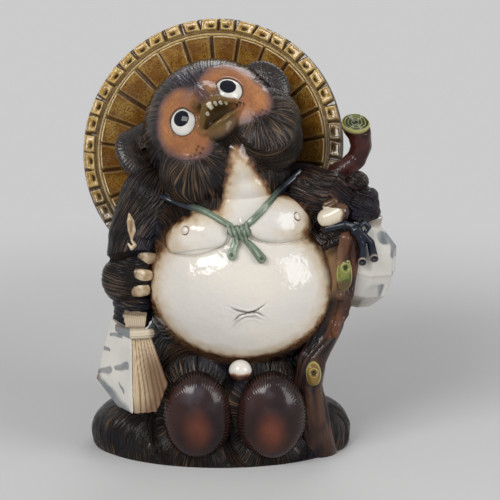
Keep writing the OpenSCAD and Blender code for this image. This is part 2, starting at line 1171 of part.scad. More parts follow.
// Two glazed toggles on the flask's cord, held against the arm
toggle_at = flask_elbow + [1, -26, -14];
toggle_turn = [0, 66, 12];
toggle_end = 6;
small_toggle_at = toggle_at + [-4, 2, 12];
module toggle_form() {
    translate(toggle_at)
        rotate(toggle_turn)
            hull()
                for (side = [-1, 1])
                    blob([0, 0, side * (toggle_l - toggle_end) / 2], [toggle_d, toggle_d, toggle_end]);
}

module cord_toggles() {
    color("#d9cba9")
        difference() {
            union() {
                toggle_form();
                translate(small_toggle_at)
                    rotate(toggle_turn)
                        blob([0, 0, 0], [toggle_d * 0.6, toggle_d * 0.6, toggle_l * 0.5], small_fn);
            }
            flask_arm_form();
            fist_form();
            body_form();
            breast_form(breast_right);
            belly_lift();
        }
}

// The flask is turned, then cut with flat facets
flask_at = fist_at + [0, 16, -58];
flask_tip = [8, 12, 0];
// Each ring of the flask: its height and its width, as shares of the flask's own
flask_rings = [[-0.5, 0.62], [-0.3, 0.94], [0, 1], [0.3, 0.86], [0.5, 0.42]];
ring_t = 0.5;
neck_sunk = 1;
module on_flask() {
    translate(flask_at)
        rotate(flask_tip)
            children();
}

module flask_form() {
    on_flask()
        hull()
            for (k = flask_rings)
                translate([0, 0, k[0] * flask_h])
                    cylinder(d = flask_d * k[1], h = ring_t, $fn = facet_n);
    on_flask()
        translate([0, 0, flask_h / 2 - neck_sunk])
            cylinder(d = flask_neck_d, h = flask_neck_h + neck_sunk, $fn = mid_fn);
}

module flask() {
    color("#dcdad6")
        difference() {
            flask_form();
            trunk_form();
            strand_form();
            body_form();
            fist_form();
            flask_arm_form();
            belly_lift();
        }
}

// The flask's cord comes out of the fist, knots and ends in two tips
cord_start = fist_at + [-4, -8, -10];
flask_knot = fist_at + [-8, -16, -22];
tips = [[flask_knot, flask_knot + [6, -3, -16], flask_knot + [8, -3, -28]],
        [flask_knot, flask_knot + [14, 0, -14], flask_knot + [19, 2, -26]]];
module flask_cord_form() {
    limb([cord_start, flask_knot], [1.3, 1.6] * flask_cord_d, small_fn);
    for (tip = tips)
        limb(tip, [1, 0.8, 1.1] * flask_cord_d, small_fn);
}

module flask_cord() {
    color("#2b2a2e")
        difference() {
            flask_cord_form();
            fist_form();
            flask_arm_form();
            flask_form();
            toggle_form();
            trunk_form();
        }
}

// The stump runs up the side of the figure, from its root to the branch
trunk_points = [[94, -14, belly_z + 82], [92, -26, belly_z + 50], [93, -32, belly_z + 12],
                [84, -36, belly_z - 28], [68, -42, belly_z - 60], [64, -44, belly_z - 86]];
trunk_sizes = [1, 1, 1.02, 0.98, 0.92, 1.05] * trunk_d;
module trunk_form() {
    limb(trunk_points, trunk_sizes);
}

module tree_trunk() {
    color("#3a281c")
        difference() {
            trunk_form();
            body_form();
            belly_lift();
            flask_arm_form();
            root_form();
        }
}

root_points = [trunk_points[5] - [0, 0, 4], [70, -38, 32], [74, -28, 2]];
module root_form() {
    limb(root_points, [trunk_d * 1.05, root_d * 0.78, root_d * 0.9]);
}

module tree_root() {
    color("#2e1f17")
        difference() {
            root_form();
            body_form();
            foot_form(1);
            bag_form(1);
            below_table();
        }
}

// Strands of bark wind down the front of the stump
long_strand = [[97, -50, belly_z + 56], [100, -50, belly_z + 40], [97, -51, belly_z + 20],
               [99, -50, belly_z - 6], [88, -54, belly_z - 34]];
short_strand = [[104, -40, belly_z + 56], [106, -44, belly_z + 34], [105, -46, belly_z + 8],
                [96, -50, belly_z - 20]];
module strand_form() {
    limb(long_strand, [0.9, 1, 1.1, 1, 0.9] * strand_d, small_fn);
    limb(short_strand, [0.9, 1, 1.1, 0.9] * strand_d, small_fn);
}

module bark_strands() {
    color("#6a4a2a")
        difference() {
            strand_form();
            trunk_form();
            body_form();
            belly_lift();
            flask_cord_form();
        }
}

branch_points = [[92, 2, belly_z + 90], [101, 2, belly_z + 106], [110, 0, belly_z + 121],
                 [112, -1, belly_z + 137], [107, -4, belly_z + 150]];
module branch_form() {
    limb(branch_points, [1.2, 1.05, 0.95, 0.95, 1] * branch_d);
}

branch_cut_turn = [37, 0, 6];
cut_depth = 1;
slice_fn = 32;
module branch_face(depth) {
    translate(branch_points[4])
        rotate(branch_cut_turn)
            translate([-far / 4, -far / 4, depth])
                cube([far / 2, far / 2, far / 4]);
}

module branch() {
    color("#3b1f1c")
        difference() {
            branch_form();
            branch_face(cut_depth);
            body_form();
            flask_arm_form();
            trunk_form();
            head_form();
            cheek_form(1);
            hat_block();
        }
}

module branch_slice() {
    color("#7b7d2f")
        translate(branch_points[4])
            rotate(branch_cut_turn)
                translate([0, 0, cut_depth])
                    cylinder(d = branch_d * 0.98, h = slice_t, $fn = slice_fn);
}

// Two green stubs where side twigs were cut off
knot_turn = [76, 0, 8];
high_knot = [17, 30, 12];
low_knot = [13, 22, 12];
high_knot_at = trunk_points[2] + [4, -trunk_d * 0.7, 16];
low_knot_at = trunk_points[4] + [1, -trunk_d * 0.56, -10];
module trunk_knots() {
    color("#7c8a2f")
        difference() {
            union() {
                translate(high_knot_at)
                    rotate(knot_turn)
                        blob([0, 0, 0], high_knot);
                translate(low_knot_at)
                    rotate(knot_turn)
                        blob([0, 0, 0], low_knot);
            }
            trunk_form();
            strand_form();
            body_form();
            belly_lift();
            bag_form(1);
        }
}

// Two round money bags in front, between the feet
bag_x = 33.5;
bag_mid_x = -3.5;
bag_z = 48;
bag_y = -64;
module bag_form(side) {
    blob([bag_mid_x + side * bag_x, bag_y, bag_z], [bag_w, bag_d, bag_h], big_fn);
}

module bag(side) {
    color("#3c1a14")
        difference() {
            bag_form(side);
            body_form();
            below_table();
            if (side > 0) bag_form(-1);
        }
}

module money_bag_left() {
    bag(-1);
}

module money_bag_right() {
    bag(1);
}

knob_x = 2;
knob_z = belly_z - 65;
knob_at = on_shell(knob_x, knob_z, knob_d * 0.4);
module bag_knob() {
    color("#d8cdb8")
        difference() {
            blob(knob_at, [knob_d, knob_d * 1.2, knob_d]);
            body_form();
            belly_lift();
            bag_form(-1);
            bag_form(1);
        }
}

// Furred feet spread to both sides of the bags
foot_left_at = [-98, -4, 14];
foot_right_at = [70, -2, 12];
mound_d = 84;
mound_h = 66;
module foot_form(side) {
    blob(side < 0 ? foot_left_at : foot_right_at,
         [side < 0 ? paw_mound_w : paw_mound_w * 0.86, mound_d, mound_h]);
}

module foot(side) {
    color("#1f1613")
        difference() {
            foot_form(side);
            body_form();
            bag_form(side);
            below_table();
        }
}

module foot_left() {
    foot(-1);
}

module foot_right() {
    foot(1);
}

// The tail lies up the back, off to one side, and is beaten flat behind
tail_points = [[-10, 74, 22], [8, 82, 46], [28, 82, 78], [34, 74, 104]];
tail_sizes = [0.7, 1, 0.95, 0.5] * tail_w;
tail_back = 95;
module tail() {
    color("#2a1c16")
        difference() {
            limb(tail_points, tail_sizes);
            body_form();
            below_table();
            translate([-far / 2, tail_back, -far / 2]) cube([far, far, far]);
        }
}

translate(shift) body_front();
translate(shift) body_back();
translate(shift) belly_slab();
translate(shift) throat_slab();
translate(shift) breasts();
translate(shift) nipples();
translate(shift) navel_creases();
translate(shift) head();
translate(shift) cheek_left();
translate(shift) cheek_right();
translate(shift) snout();
translate(shift) lower_jaw();
translate(shift) tongue();
translate(shift) upper_teeth();
translate(shift) nose();
translate(shift) eyes();
translate(shift) pupils();
translate(shift) ear_left();
translate(shift) ear_right();
translate(shift) hat_cone();
translate(shift) hat_panels();
translate(shift) hat_rim();
translate(shift) rim_pads();
translate(shift) neck_cord_left();
translate(shift) neck_cord_right();
translate(shift) cord_knot();
translate(shift) cord_ends();
translate(shift) ledger_arm();
translate(shift) ledger_paw();
translate(shift) ledger_claws();
translate(shift) sleeve_slit();
translate(shift) ledger_cover();
translate(shift) ledger_pages();
translate(shift) ledger_band();
translate(shift) ledger_top();
translate(shift) flask_arm();
translate(shift) fist();
translate(shift) cord_toggles();
translate(shift) flask();
translate(shift) flask_cord();
translate(shift) tree_trunk();
translate(shift) tree_root();
translate(shift) bark_strands();
translate(shift) branch();
translate(shift) branch_slice();
translate(shift) trunk_knots();
translate(shift) money_bag_left();
translate(shift) money_bag_right();
translate(shift) bag_knob();
translate(shift) foot_left();
translate(shift) foot_right();
translate(shift) tail();
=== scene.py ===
import math

import bmesh
import bpy
import numpy as np
from mathutils import Matrix, Vector
from mathutils.bvhtree import BVHTree


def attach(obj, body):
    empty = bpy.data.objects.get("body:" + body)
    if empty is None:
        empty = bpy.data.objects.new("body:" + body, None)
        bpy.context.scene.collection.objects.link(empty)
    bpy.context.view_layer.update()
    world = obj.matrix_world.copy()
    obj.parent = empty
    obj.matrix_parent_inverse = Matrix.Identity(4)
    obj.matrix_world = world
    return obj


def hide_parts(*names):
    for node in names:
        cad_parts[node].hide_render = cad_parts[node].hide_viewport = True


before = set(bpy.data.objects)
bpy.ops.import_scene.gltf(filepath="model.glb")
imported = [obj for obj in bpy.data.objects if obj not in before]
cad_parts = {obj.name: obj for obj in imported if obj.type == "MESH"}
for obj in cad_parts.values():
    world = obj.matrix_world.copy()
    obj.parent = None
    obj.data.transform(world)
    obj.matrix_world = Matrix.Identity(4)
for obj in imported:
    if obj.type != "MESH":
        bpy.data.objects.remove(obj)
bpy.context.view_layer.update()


# Fur shell, front half and back half. Two press-moulded clay walls luted at a seam down the sides,
# scored all over with a wire comb while leather-hard, then dipped in an iron-black glaze that
# breaks to brown on the ridges.
MM = 0.001
DRAWN_FROM = np.array([1.5, -5.8, 0.0])  # the figure is drawn round the belly's middle line
SHELL_BALLS = [
    ((4, -8, 156), (186, 142, 158)),
    ((-4, -6, 206), (162, 112, 116)),
    ((-76, 4, 228), (74, 74, 74)),
    ((60, 4, 236), (74, 74, 70)),
    ((-4, -4, 260), (104, 92, 68)),
    ((-4, 22, 148), (172, 116, 186)),
    ((-16, 4, 62), (184, 148, 136)),
    ((-17, 10, 0), (250, 168, 118)),
    ((-14, 34, 74), (164, 104, 136)),
]
FOOT_BALLS = [((-98, -4, 14), (88, 84, 66)), ((70, -2, 12), (76, 84, 66))]
SEAM_Y = 4.0
COMB_PITCH = 2.4


def place(points):
    """Millimetres in the figure's own drawing, to metres in the frame."""
    return (np.asarray(points, float) + DRAWN_FROM) * MM


def drawn(points):
    """Metres in the frame, to millimetres in the figure's own drawing."""
    return np.asarray(points, float) / MM - DRAWN_FROM


def set_ball(bm, at, size, turn=None, level=5):
    """One ball of clay, pressed to three sizes."""
    spot = Matrix.Translation(Vector(place(at)))
    spread = Matrix.Diagonal(Vector(size) * MM).to_4x4()
    bmesh.ops.create_icosphere(bm, subdivisions=level, radius=0.5,
                               matrix=spot @ (turn or Matrix()) @ spread)


def set_limb(bm, points, sizes, step=2.5, level=3):
    """A rolled limb: balls set close together along a line through the points."""
    for a, b, s, t in zip(points[:-1], points[1:], sizes[:-1], sizes[1:]):
        a, b = np.array(a, float), np.array(b, float)
        count = max(2, int(np.linalg.norm(b - a) / step))
        for i in range(count + 1):
            k = i / count
            set_ball(bm, a + (b - a) * k, [s + (t - s) * k] * 3, level=level)


def piece(name, mesh):
    found = bpy.data.objects.new(name, mesh)
    bpy.context.scene.collection.objects.link(found)
    return found


def mesh_of(name, bm):
    """All that was set in the bmesh, as a new mesh."""
    found = bpy.data.meshes.new(name)
    bm.to_mesh(found)
    bm.free()
    return found


def shade_smooth(mesh):
    for face in mesh.polygons:
        face.use_smooth = True


def applied(name, bm, modifiers):
    """The bmesh with these modifiers applied, as a new mesh."""
    rough = mesh_of(name + "_rough", bm)
    holder = piece(name + "_rough", rough)
    for kind, settings in modifiers:
        modifier = holder.modifiers.new(kind, kind)
        for key, value in settings.items():
            setattr(modifier, key, value)
    found = bpy.data.meshes.new_from_object(holder.evaluated_get(bpy.context.evaluated_depsgraph_get()))
    bpy.data.objects.remove(holder)
    bpy.data.meshes.remove(rough)
    found.name = name
    return found


def melted(name, bm, voxel, rounds):
    """Balls and rolls of clay pressed into one skin, with the joins smoothed over."""
    return applied(name, bm, [
        ("REMESH", {"mode": "VOXEL", "voxel_size": voxel * MM, "use_smooth_shade": True}),
        ("SMOOTH", {"factor": 0.5, "iterations": rounds}),
    ])


def read(mesh, what="co"):
    """Places or normals of a mesh's vertices as rows."""
    rows = np.zeros(len(mesh.vertices) * 3, np.float32)
    if what == "co":
        mesh.vertices.foreach_get("co", rows)
    else:
        mesh.vertex_normals.foreach_get("vector", rows)
    return rows.reshape(-1, 3).astype(float)


def faced(mesh):
    """Each vertex's place in the figure's drawing, in mm, and the way it faces."""
    return drawn(read(mesh)), read(mesh, "normal")


def write(mesh, rows):
    mesh.vertices.foreach_set("co", np.asarray(rows, np.float32).ravel())
    mesh.update()


def lift(mesh, normals, rise):
    """Moves every vertex along its normal by its own rise in mm."""
    write(mesh, read(mesh) + normals * rise[:, None] * MM)


def mark(mesh, name, values):
    """Keeps a number, or a vector, for each vertex, for the materials."""
    values = np.asarray(values, np.float32)
    kind, key = ("FLOAT", "value") if values.ndim == 1 else ("FLOAT_VECTOR", "vector")
    found = mesh.attributes.get(name) or mesh.attributes.new(name, kind, "POINT")
    found.data.foreach_set(key, values.ravel())


def soft(low, high, x):
    """0 below low, 1 above high, smooth between."""
    k = np.clip((x - low) / (high - low), 0, 1)
    return k * k * (3 - 2 * k)


def bell(x, width):
    """1 where x is 0, falling off smoothly to both sides over a few widths."""
    return np.exp(-(x / width) ** 2)


def chance(i, j, k, seed):
    """A steady random number for each whole-numbered place."""
    n = (i * 374761393 + j * 668265263 + k * 2147483647 + seed * 974634777) & 0xFFFFFFFF
    n = ((n ^ (n >> 13)) * 1274126177) & 0xFFFFFFFF
    return ((n ^ (n >> 16)) & 0xFFFF) / 65535.0


def lumps(p, seed=0):
    """Smooth noise from 0 to 1 at points given in units of one lump."""
    p = np.asarray(p, float)
    whole = np.floor(p).astype(np.int64)
    part = p - whole
    part = part * part * (3 - 2 * part)
    total = np.zeros(len(p))
    for dx in (0, 1):
        for dy in (0, 1):
            for dz in (0, 1):
                weight = ((part[:, 0] if dx else 1 - part[:, 0]) * (part[:, 1] if dy else 1 - part[:, 1])
                          * (part[:, 2] if dz else 1 - part[:, 2]))
                total += weight * chance(whole[:, 0] + dx, whole[:, 1] + dy, whole[:, 2] + dz, seed)
    return total


def strands(across, along, wide, long, seed=0):
    """Ridges of combed clay, 0 in the grooves and 1 on the ridges, drawn out along the stroke."""
    wander = 0.9 * lumps(np.stack([across / (wide * 5), along / (long * 1.2), 0 * across], 1), seed + 7)
    k = lumps(np.stack([across / wide + wander * 2, along / long, 0 * across], 1), seed)
    return 1 - np.abs(2 * k - 1) ** 1.3


def belly_share(p):
    """0 in the middle of the white belly, 1 on its edge, as seen from the front."""
    return np.hypot((p[:, 0] - 3) / 91, (p[:, 2] - 166) / 69)


def shell_strokes(p):
    """Where the comb went on the shell: across the stroke and along it, in millimetres."""
    round_figure = np.arctan2(p[:, 0] + 6, -(p[:, 1] - 12)) * 98
    from_belly = np.arctan2(p[:, 0] - 4, 168 - p[:, 2])
    near_belly = 1 - soft(1.12, 1.6, belly_share(p))
    near_belly *= 1 - soft(-30, 10, p[:, 1])
    near_belly *= 1 - soft(1.9, 2.6, np.abs(from_belly))
    across = round_figure * (1 - near_belly) + from_belly * 92 * near_belly
    across = across + 9 * lumps(p / 34, 3) + 4 * lumps(p / 15, 4)
    return across, p[:, 2] * 0.9 + 0.4 * p[:, 1]


def bag_share(p, side):
    """1 on the outline of a money bag, as seen from the front."""
    return np.hypot((p[:, 0] + 3.5 - side * 33.5) / 32, (p[:, 2] - 48) / 42)


bm = bmesh.new()
for at, size in SHELL_BALLS + FOOT_BALLS:
    set_ball(bm, at, size)
shell_form = melted("shell_form", bm, 1.55, 22)
shell_tree = BVHTree.FromPolygons([v.co for v in shell_form.vertices],
                                  [tuple(f.vertices) for f in shell_form.polygons])

p, n = faced(shell_form)
across, along = shell_strokes(p)
for side in (-1, 1):
    # Round each bag the comb strokes point at the bag's middle.
    near = (1 - soft(1.25, 1.6, bag_share(p, side))) * (1 - soft(-50, -20, p[:, 1]))
    turn = np.arctan2(p[:, 0] + 3.5 - side * 33.5, 48 - p[:, 2]) * 44
    across = across * (1 - near) + turn * near
tufts = strands(across, along, 5.2, 30, 1)
locks = lumps(np.stack([across / 17, along / 34, 0 * along], 1), 5)
fine = strands(across, along, COMB_PITCH, 24, 2)
front_white = (1 - soft(0.93, 1.06, belly_share(p))) * (p[:, 1] < 0)
height = (1.5 * tufts + 0.5 * fine + 2.2 * (locks - 0.5) - 1.2) * (1 - front_white)
height *= soft(0, 5, p[:, 2])
lift(shell_form, n, height)
mark(shell_form, "stroke", np.stack([across, along, 0 * along], 1) * MM)
mark(shell_form, "ridge", tufts)
mark(shell_form, "halo", front_white)


def comb_group():
    """Comb lines along the 'stroke' attribute: a ridge mask, from 0 in a groove to 1 on a ridge."""
    group = bpy.data.node_groups.new("comb_lines", "ShaderNodeTree")
    for name, start in (("Stroke", None), ("Lines", 420.0), ("Length", 45.0)):
        kind = "NodeSocketVector" if start is None else "NodeSocketFloat"
        socket = group.interface.new_socket(name, in_out="INPUT", socket_type=kind)
        if start is not None:
            socket.default_value = start
    group.interface.new_socket("Ridge", in_out="OUTPUT", socket_type="NodeSocketFloat")
    nodes, links = group.nodes, group.links
    take, give = nodes.new("NodeGroupInput"), nodes.new("NodeGroupOutput")
    scale = nodes.new("ShaderNodeCombineXYZ")
    links.new(take.outputs["Lines"], scale.inputs[0])
    links.new(take.outputs["Length"], scale.inputs[1])
    scale.inputs[2].default_value = 1
    stretch = nodes.new("ShaderNodeVectorMath")
    stretch.operation = "MULTIPLY"
    links.new(take.outputs["Stroke"], stretch.inputs[0])
    links.new(scale.outputs[0], stretch.inputs[1])
    noise = nodes.new("ShaderNodeTexNoise")
    noise.inputs["Scale"].default_value = 1
    noise.inputs["Detail"].default_value = 1.5
    noise.inputs["Distortion"].default_value = 0.35
    links.new(stretch.outputs[0], noise.inputs["Vector"])
    spread = nodes.new("ShaderNodeMapRange")
    spread.inputs["From Min"].default_value = 0.36
    spread.inputs["From Max"].default_value = 0.64
    links.new(noise.outputs["Fac"], spread.inputs["Value"])
    links.new(spread.outputs[0], give.inputs["Ridge"])
    return group


def mottle_group():
    """Thick and thin glaze: a slow mask and a fine speckle, both from 0 to 1, on Object coordinates."""
    group = bpy.data.node_groups.new("glaze_mottle", "ShaderNodeTree")
    for name, start in (("Pools", 40.0), ("Speckle", 600.0)):
        group.interface.new_socket(name, in_out="INPUT",
                                   socket_type="NodeSocketFloat").default_value = start
    for name in ("Pool", "Speck"):
        group.interface.new_socket(name, in_out="OUTPUT", socket_type="NodeSocketFloat")
    nodes, links = group.nodes, group.links
    take, give = nodes.new("NodeGroupInput"), nodes.new("NodeGroupOutput")
    where = nodes.new("ShaderNodeTexCoord")
    for size, out, low, high in (("Pools", "Pool", 0.38, 0.62), ("Speckle", "Speck", 0.42, 0.66)):
        noise = nodes.new("ShaderNodeTexNoise")
        noise.inputs["Detail"].default_value = 3
        links.new(where.outputs["Object"], noise.inputs["Vector"])
        links.new(take.outputs[size], noise.inputs["Scale"])
        spread = nodes.new("ShaderNodeMapRange")
        spread.inputs["From Min"].default_value = low
        spread.inputs["From Max"].default_value = high
        links.new(noise.outputs["Fac"], spread.inputs["Value"])
        links.new(spread.outputs[0], give.inputs[out])
    return group


comb_lines = comb_group()
glaze_mottle = mottle_group()


class Glaze:
    """A fired glaze: its node tree, its shader, and short ways to add masks and colours to them."""

    def __init__(self, name, roughness=0.2):
        self.material = bpy.data.materials.new(name)
        self.material.use_nodes = True
        self.nodes, self.links = self.material.node_tree.nodes, self.material.node_tree.links
        self.shader = self.nodes["Principled BSDF"]
        self.shader.inputs["Roughness"].default_value = roughness

    def marked(self, name, vector=False):
        node = self.nodes.new("ShaderNodeAttribute")
        node.attribute_name = name
        return node.outputs["Vector" if vector else "Fac"]

    def group(self, tree, **values):
        node = self.nodes.new("ShaderNodeGroup")
        node.node_tree = tree
        for key, value in values.items():
            if isinstance(value, (int, float)):
                node.inputs[key].default_value = value
            else:
                self.links.new(value, node.inputs[key])
        return node.outputs

    def put(self, value, socket):
        if isinstance(value, (int, float)):
            socket.default_value = value
        elif isinstance(value, tuple):
            socket.default_value = value if len(value) == 4 else (*value, 1)
        else:
            self.links.new(value, socket)

    def times(self, a, b):
        return self.math("MULTIPLY", a, b)

    def mix(self, a, b, k):
        """Colour a where k is 0 and colour b where it is 1."""
        node = self.nodes.new("ShaderNodeMix")
        node.data_type = "RGBA"
        self.put(k, node.inputs["Factor"])
        self.put(a, node.inputs["A"])
        self.put(b, node.inputs["B"])
        return node.outputs["Result"]

    def math(self, kind, a, b=0.0):
        node = self.nodes.new("ShaderNodeMath")
        node.operation = kind
        node.use_clamp = kind in ("ADD", "MULTIPLY", "SUBTRACT")
        self.put(a, node.inputs[0])
        self.put(b, node.inputs[1])
        return node.outputs[0]

    def span(self, value, low, high, out_low=0.0, out_high=1.0):
        node = self.nodes.new("ShaderNodeMapRange")
        self.put(value, node.inputs["Value"])
        for key, number in (("From Min", low), ("From Max", high), ("To Min", out_low),
                            ("To Max", out_high)):
            node.inputs[key].default_value = number
        return node.outputs[0]

    def noise(self, scale, detail=2.0, where=None):
        node = self.nodes.new("ShaderNodeTexNoise")
        node.inputs["Scale"].default_value = scale
        node.inputs["Detail"].default_value = detail
        self.links.new(where or self.spot(), node.inputs["Vector"])
        return node.outputs["Fac"]

    def spot(self):
        return self.nodes.new("ShaderNodeTexCoord").outputs["Object"]

    def colour(self, value):
        self.put(value, self.shader.inputs["Base Color"])

    def rough(self, value):
        self.put(value, self.shader.inputs["Roughness"])

    def relief(self, height, depth, strength=1.0):
        """Fine relief, depth in millimetres."""
        node = self.nodes.new("ShaderNodeBump")
        node.inputs["Distance"].default_value = depth * MM
        node.inputs["Strength"].default_value = strength
        self.links.new(height, node.inputs["Height"])
        self.links.new(node.outputs[0], self.shader.inputs["Normal"])


def fur_glaze(name, groove, ridge, sheen, lines=820.0):
    """Iron-black glaze over combed clay: dark in the grooves, brown where it breaks on the ridges."""
    glaze = Glaze(name, 0.15)
    glaze.shader.inputs["Specular IOR Level"].default_value = 0.2
    ridges = glaze.group(comb_lines, Stroke=glaze.marked("stroke", True), Lines=lines)["Ridge"]
    mottle = glaze.group(glaze_mottle, Pools=26.0, Speckle=500.0)
    tuft = glaze.marked("ridge")
    worn = glaze.times(glaze.times(glaze.span(ridges, 0.5, 1.0), glaze.span(tuft, 0.1, 0.9, 0.45, 1.0)),
                       glaze.span(mottle["Pool"], 0.2, 0.8, 0.10, 0.9))
    colour = glaze.mix(groove, ridge, worn)
    colour = glaze.mix(colour, sheen, glaze.times(glaze.span(glaze.noise(19.0), 0.5, 0.72), 0.55))
    halo = glaze.marked("halo")
    colour = glaze.mix(colour, (0.16, 0.075, 0.03), glaze.times(halo, 0.9))
    glaze.colour(colour)
    glaze.relief(glaze.math("ADD", glaze.times(ridges, 0.8), glaze.times(mottle["Speck"], 0.08)), 1.3)
    return glaze.material


FUR_BLACK = (0.0065, 0.0048, 0.0048)
FUR_BROWN = (0.135, 0.076, 0.042)
FUR_BLUE = (0.010, 0.012, 0.026)
body_fur = fur_glaze("body_fur", FUR_BLACK, FUR_BROWN, FUR_BLUE)


def half_of(mesh, name, keep_front):
    """The front or the back half of the shell form, cut at the seam and at the table."""
    bm = bmesh.new()
    bm.from_mesh(mesh)
    seam = Vector(place([0, SEAM_Y, 0]))
    everything = bm.verts[:] + bm.edges[:] + bm.faces[:]
    bmesh.ops.bisect_plane(bm, geom=everything, plane_co=Vector((0, 0, 0)), plane_no=(0, 0, -1),
                           clear_outer=True)
    everything = bm.verts[:] + bm.edges[:] + bm.faces[:]
    bmesh.ops.bisect_plane(bm, geom=everything, plane_co=seam, plane_no=(0, 1 if keep_front else -1, 0),
                           clear_outer=True)
    found = mesh_of(name, bm)
    shade_smooth(found)
    return found


for name, node, keep_front in (("fur_front", "body_front", True), ("fur_back", "body_back", False)):
    half = piece(name, half_of(shell_form, name, keep_front))
    half.data.materials.append(body_fur)
    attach(half, "root")
    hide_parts(node)
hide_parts("foot_left", "foot_right")


# White belly, throat and breasts. A smooth slab of clay and two pressed breasts, laid on the front
# and dipped in thick white glaze that runs thin and brown where it meets the fur.
HEAD_AT = (-21.8, 12, 300)
HEAD_TURN = (Matrix.Rotation(math.radians(14.5), 4, "Z") @ Matrix.Rotation(math.radians(-32.9), 4, "Y")
             @ Matrix.Rotation(math.radians(-25.6), 4, "X"))
HEAD_BALLS = [((0, 0, 0), (134, 134, 134)), ((0, -6, -26), (122, 112, 96))]
LEFT_BREAST = ((-38, 213), 30, 21, 16, 12)
RIGHT_BREAST = ((37, 227), 33, 22, 20, -6)
NAVEL_TOP = [(-8.9, 155.9), (0.1, 152.2), (9.9, 150.0), (17.9, 153.1), (26.9, 159.6)]
NAVEL_LOW = [(-4.4, 140.1), (-1.7, 144.8), (1.9, 148.0), (9.9, 150.6), (16.2, 150.6), (20.6, 148.0),
             (25.1, 144.8)]
NAVEL_FOLD = [(-6.3, 134), (-0.9, 141.5), (6.2, 146.2), (15.2, 146.6), (22.3, 142.4)]


def head_at(points):
    """Millimetres in the head's own drawing, face to -y, to metres in the frame."""
    turn = np.array(HEAD_TURN.to_3x3())
    return place(np.asarray(points, float) @ turn.T + np.array(HEAD_AT))


def head_drawn(points):
    turn = np.array(HEAD_TURN.to_3x3())
    return (drawn(points) - np.array(HEAD_AT)) @ turn


def set_head_ball(bm, at, size, level=5):
    middle = Matrix.Translation(Vector(head_at([at])[0]))
    bmesh.ops.create_icosphere(bm, subdivisions=level, radius=0.5,
                               matrix=middle @ HEAD_TURN @ Matrix.Diagonal(Vector(size) * MM).to_4x4())


def breast_rings(p, breast):
    """1 on a breast's outline, seen from the front, and how far down the breast a point is."""
    (x, z), wide, up, down, tip = breast
    c, s = math.cos(math.radians(tip)), math.sin(math.radians(tip))
    u, w = (p[:, 0] - x) * c + (p[:, 2] - z) * s, (p[:, 2] - z) * c - (p[:, 0] - x) * s
    return np.hypot(u / wide, w / np.where(w > 0, up, down)), soft(0.15, -0.35, w / up)


def line_gap(p, route):
    """Distance from a line drawn on the front, and how far along it the nearest place is, 0 to 1."""
    best, where = np.full(len(p), 1e3), np.zeros(len(p))
    flat = p[:, [0, 2]]
    for i, (a, b) in enumerate(zip(route[:-1], route[1:])):
        a, b = np.array(a, float), np.array(b, float)
        k = np.clip(((flat - a) @ (b - a)) / ((b - a) @ (b - a)), 0, 1)
        gap = np.linalg.norm(flat - a - k[:, None] * (b - a), axis=1)
        nearer = gap < best
        best, where = np.where(nearer, gap, best), np.where(nearer, (i + k) / (len(route) - 1), where)
    return best, where


def white_depth(p):
    """Millimetres inside the outline of the white glaze, seen from the front; negative outside it."""
    x, z = p[:, 0], p[:, 2]
    belly = (1 - belly_share(p)) * 74
    throat = np.minimum(((x + 10) * 64 + (300 - z) * 13) / 65.3, ((7 - x) * 64 + (300 - z) * 40) / 75.5)
    throat = np.minimum(np.minimum(throat, 302 - z), z - 205)
    chest = np.minimum(np.minimum(x + 46, 48 - x), np.minimum(z - 190, 242 - z))
    left = (1 - breast_rings(p, LEFT_BREAST)[0]) * 24 + 2
    right = (1 - breast_rings(p, RIGHT_BREAST)[0]) * 25 + 2
    parts = np.stack([belly, throat, chest, left, right]) / 2.5
    top = parts.max(0)
    return (top + np.log(np.exp(parts - top).sum(0))) * 2.5 - 1


bm = bmesh.new()
for at, size in SHELL_BALLS[:6]:
    set_ball(bm, at, size)
for at, size in HEAD_BALLS:
    set_head_ball(bm, at, size)
white = melted("belly_white", bm, 1.5, 20)
bm = bmesh.new()
bm.from_mesh(white)
bm.verts.ensure_lookup_table()
p, n = faced(white)
outside = (white_depth(p) < -5) | (p[:, 1] > -8)
bmesh.ops.delete(bm, geom=[v for v, gone in zip(bm.verts, outside) if gone], context="VERTS")
bmesh.ops.subdivide_edges(bm, edges=bm.edges[:], cuts=1, use_grid_fill=True, smooth=0)
bmesh.ops.smooth_vert(bm, verts=bm.verts[:], factor=0.5, use_axis_x=True, use_axis_y=True, use_axis_z=True)
bm.to_mesh(white)
bm.free()

p, n = faced(white)
depth = white_depth(p) + 2.4 * (lumps(p / 5, 8) - 0.5)
rise = -1.6 + 4.6 * soft(-4, 11, depth)
# Painted shade along the underside of each breast, where it folds onto the belly.
under_breast_shade = np.zeros(len(p))
for breast in (LEFT_BREAST, RIGHT_BREAST):
    ring, low = breast_rings(p, breast)
    inside = np.clip(1 - ring ** 2, 0, 1)
    rise += 7.0 * (low * inside ** 0.42 + (1 - low) * soft(0, 1, inside) ** 0.8)
    rise += 0.9 * low * bell(ring - 1.035, 0.022) - 0.5 * low * bell(ring - 1.09, 0.03)
    under_breast_shade += low * bell(ring - 1.0, 0.02) * 0.8 + 0.3 * low * bell(ring - 1.07, 0.05)
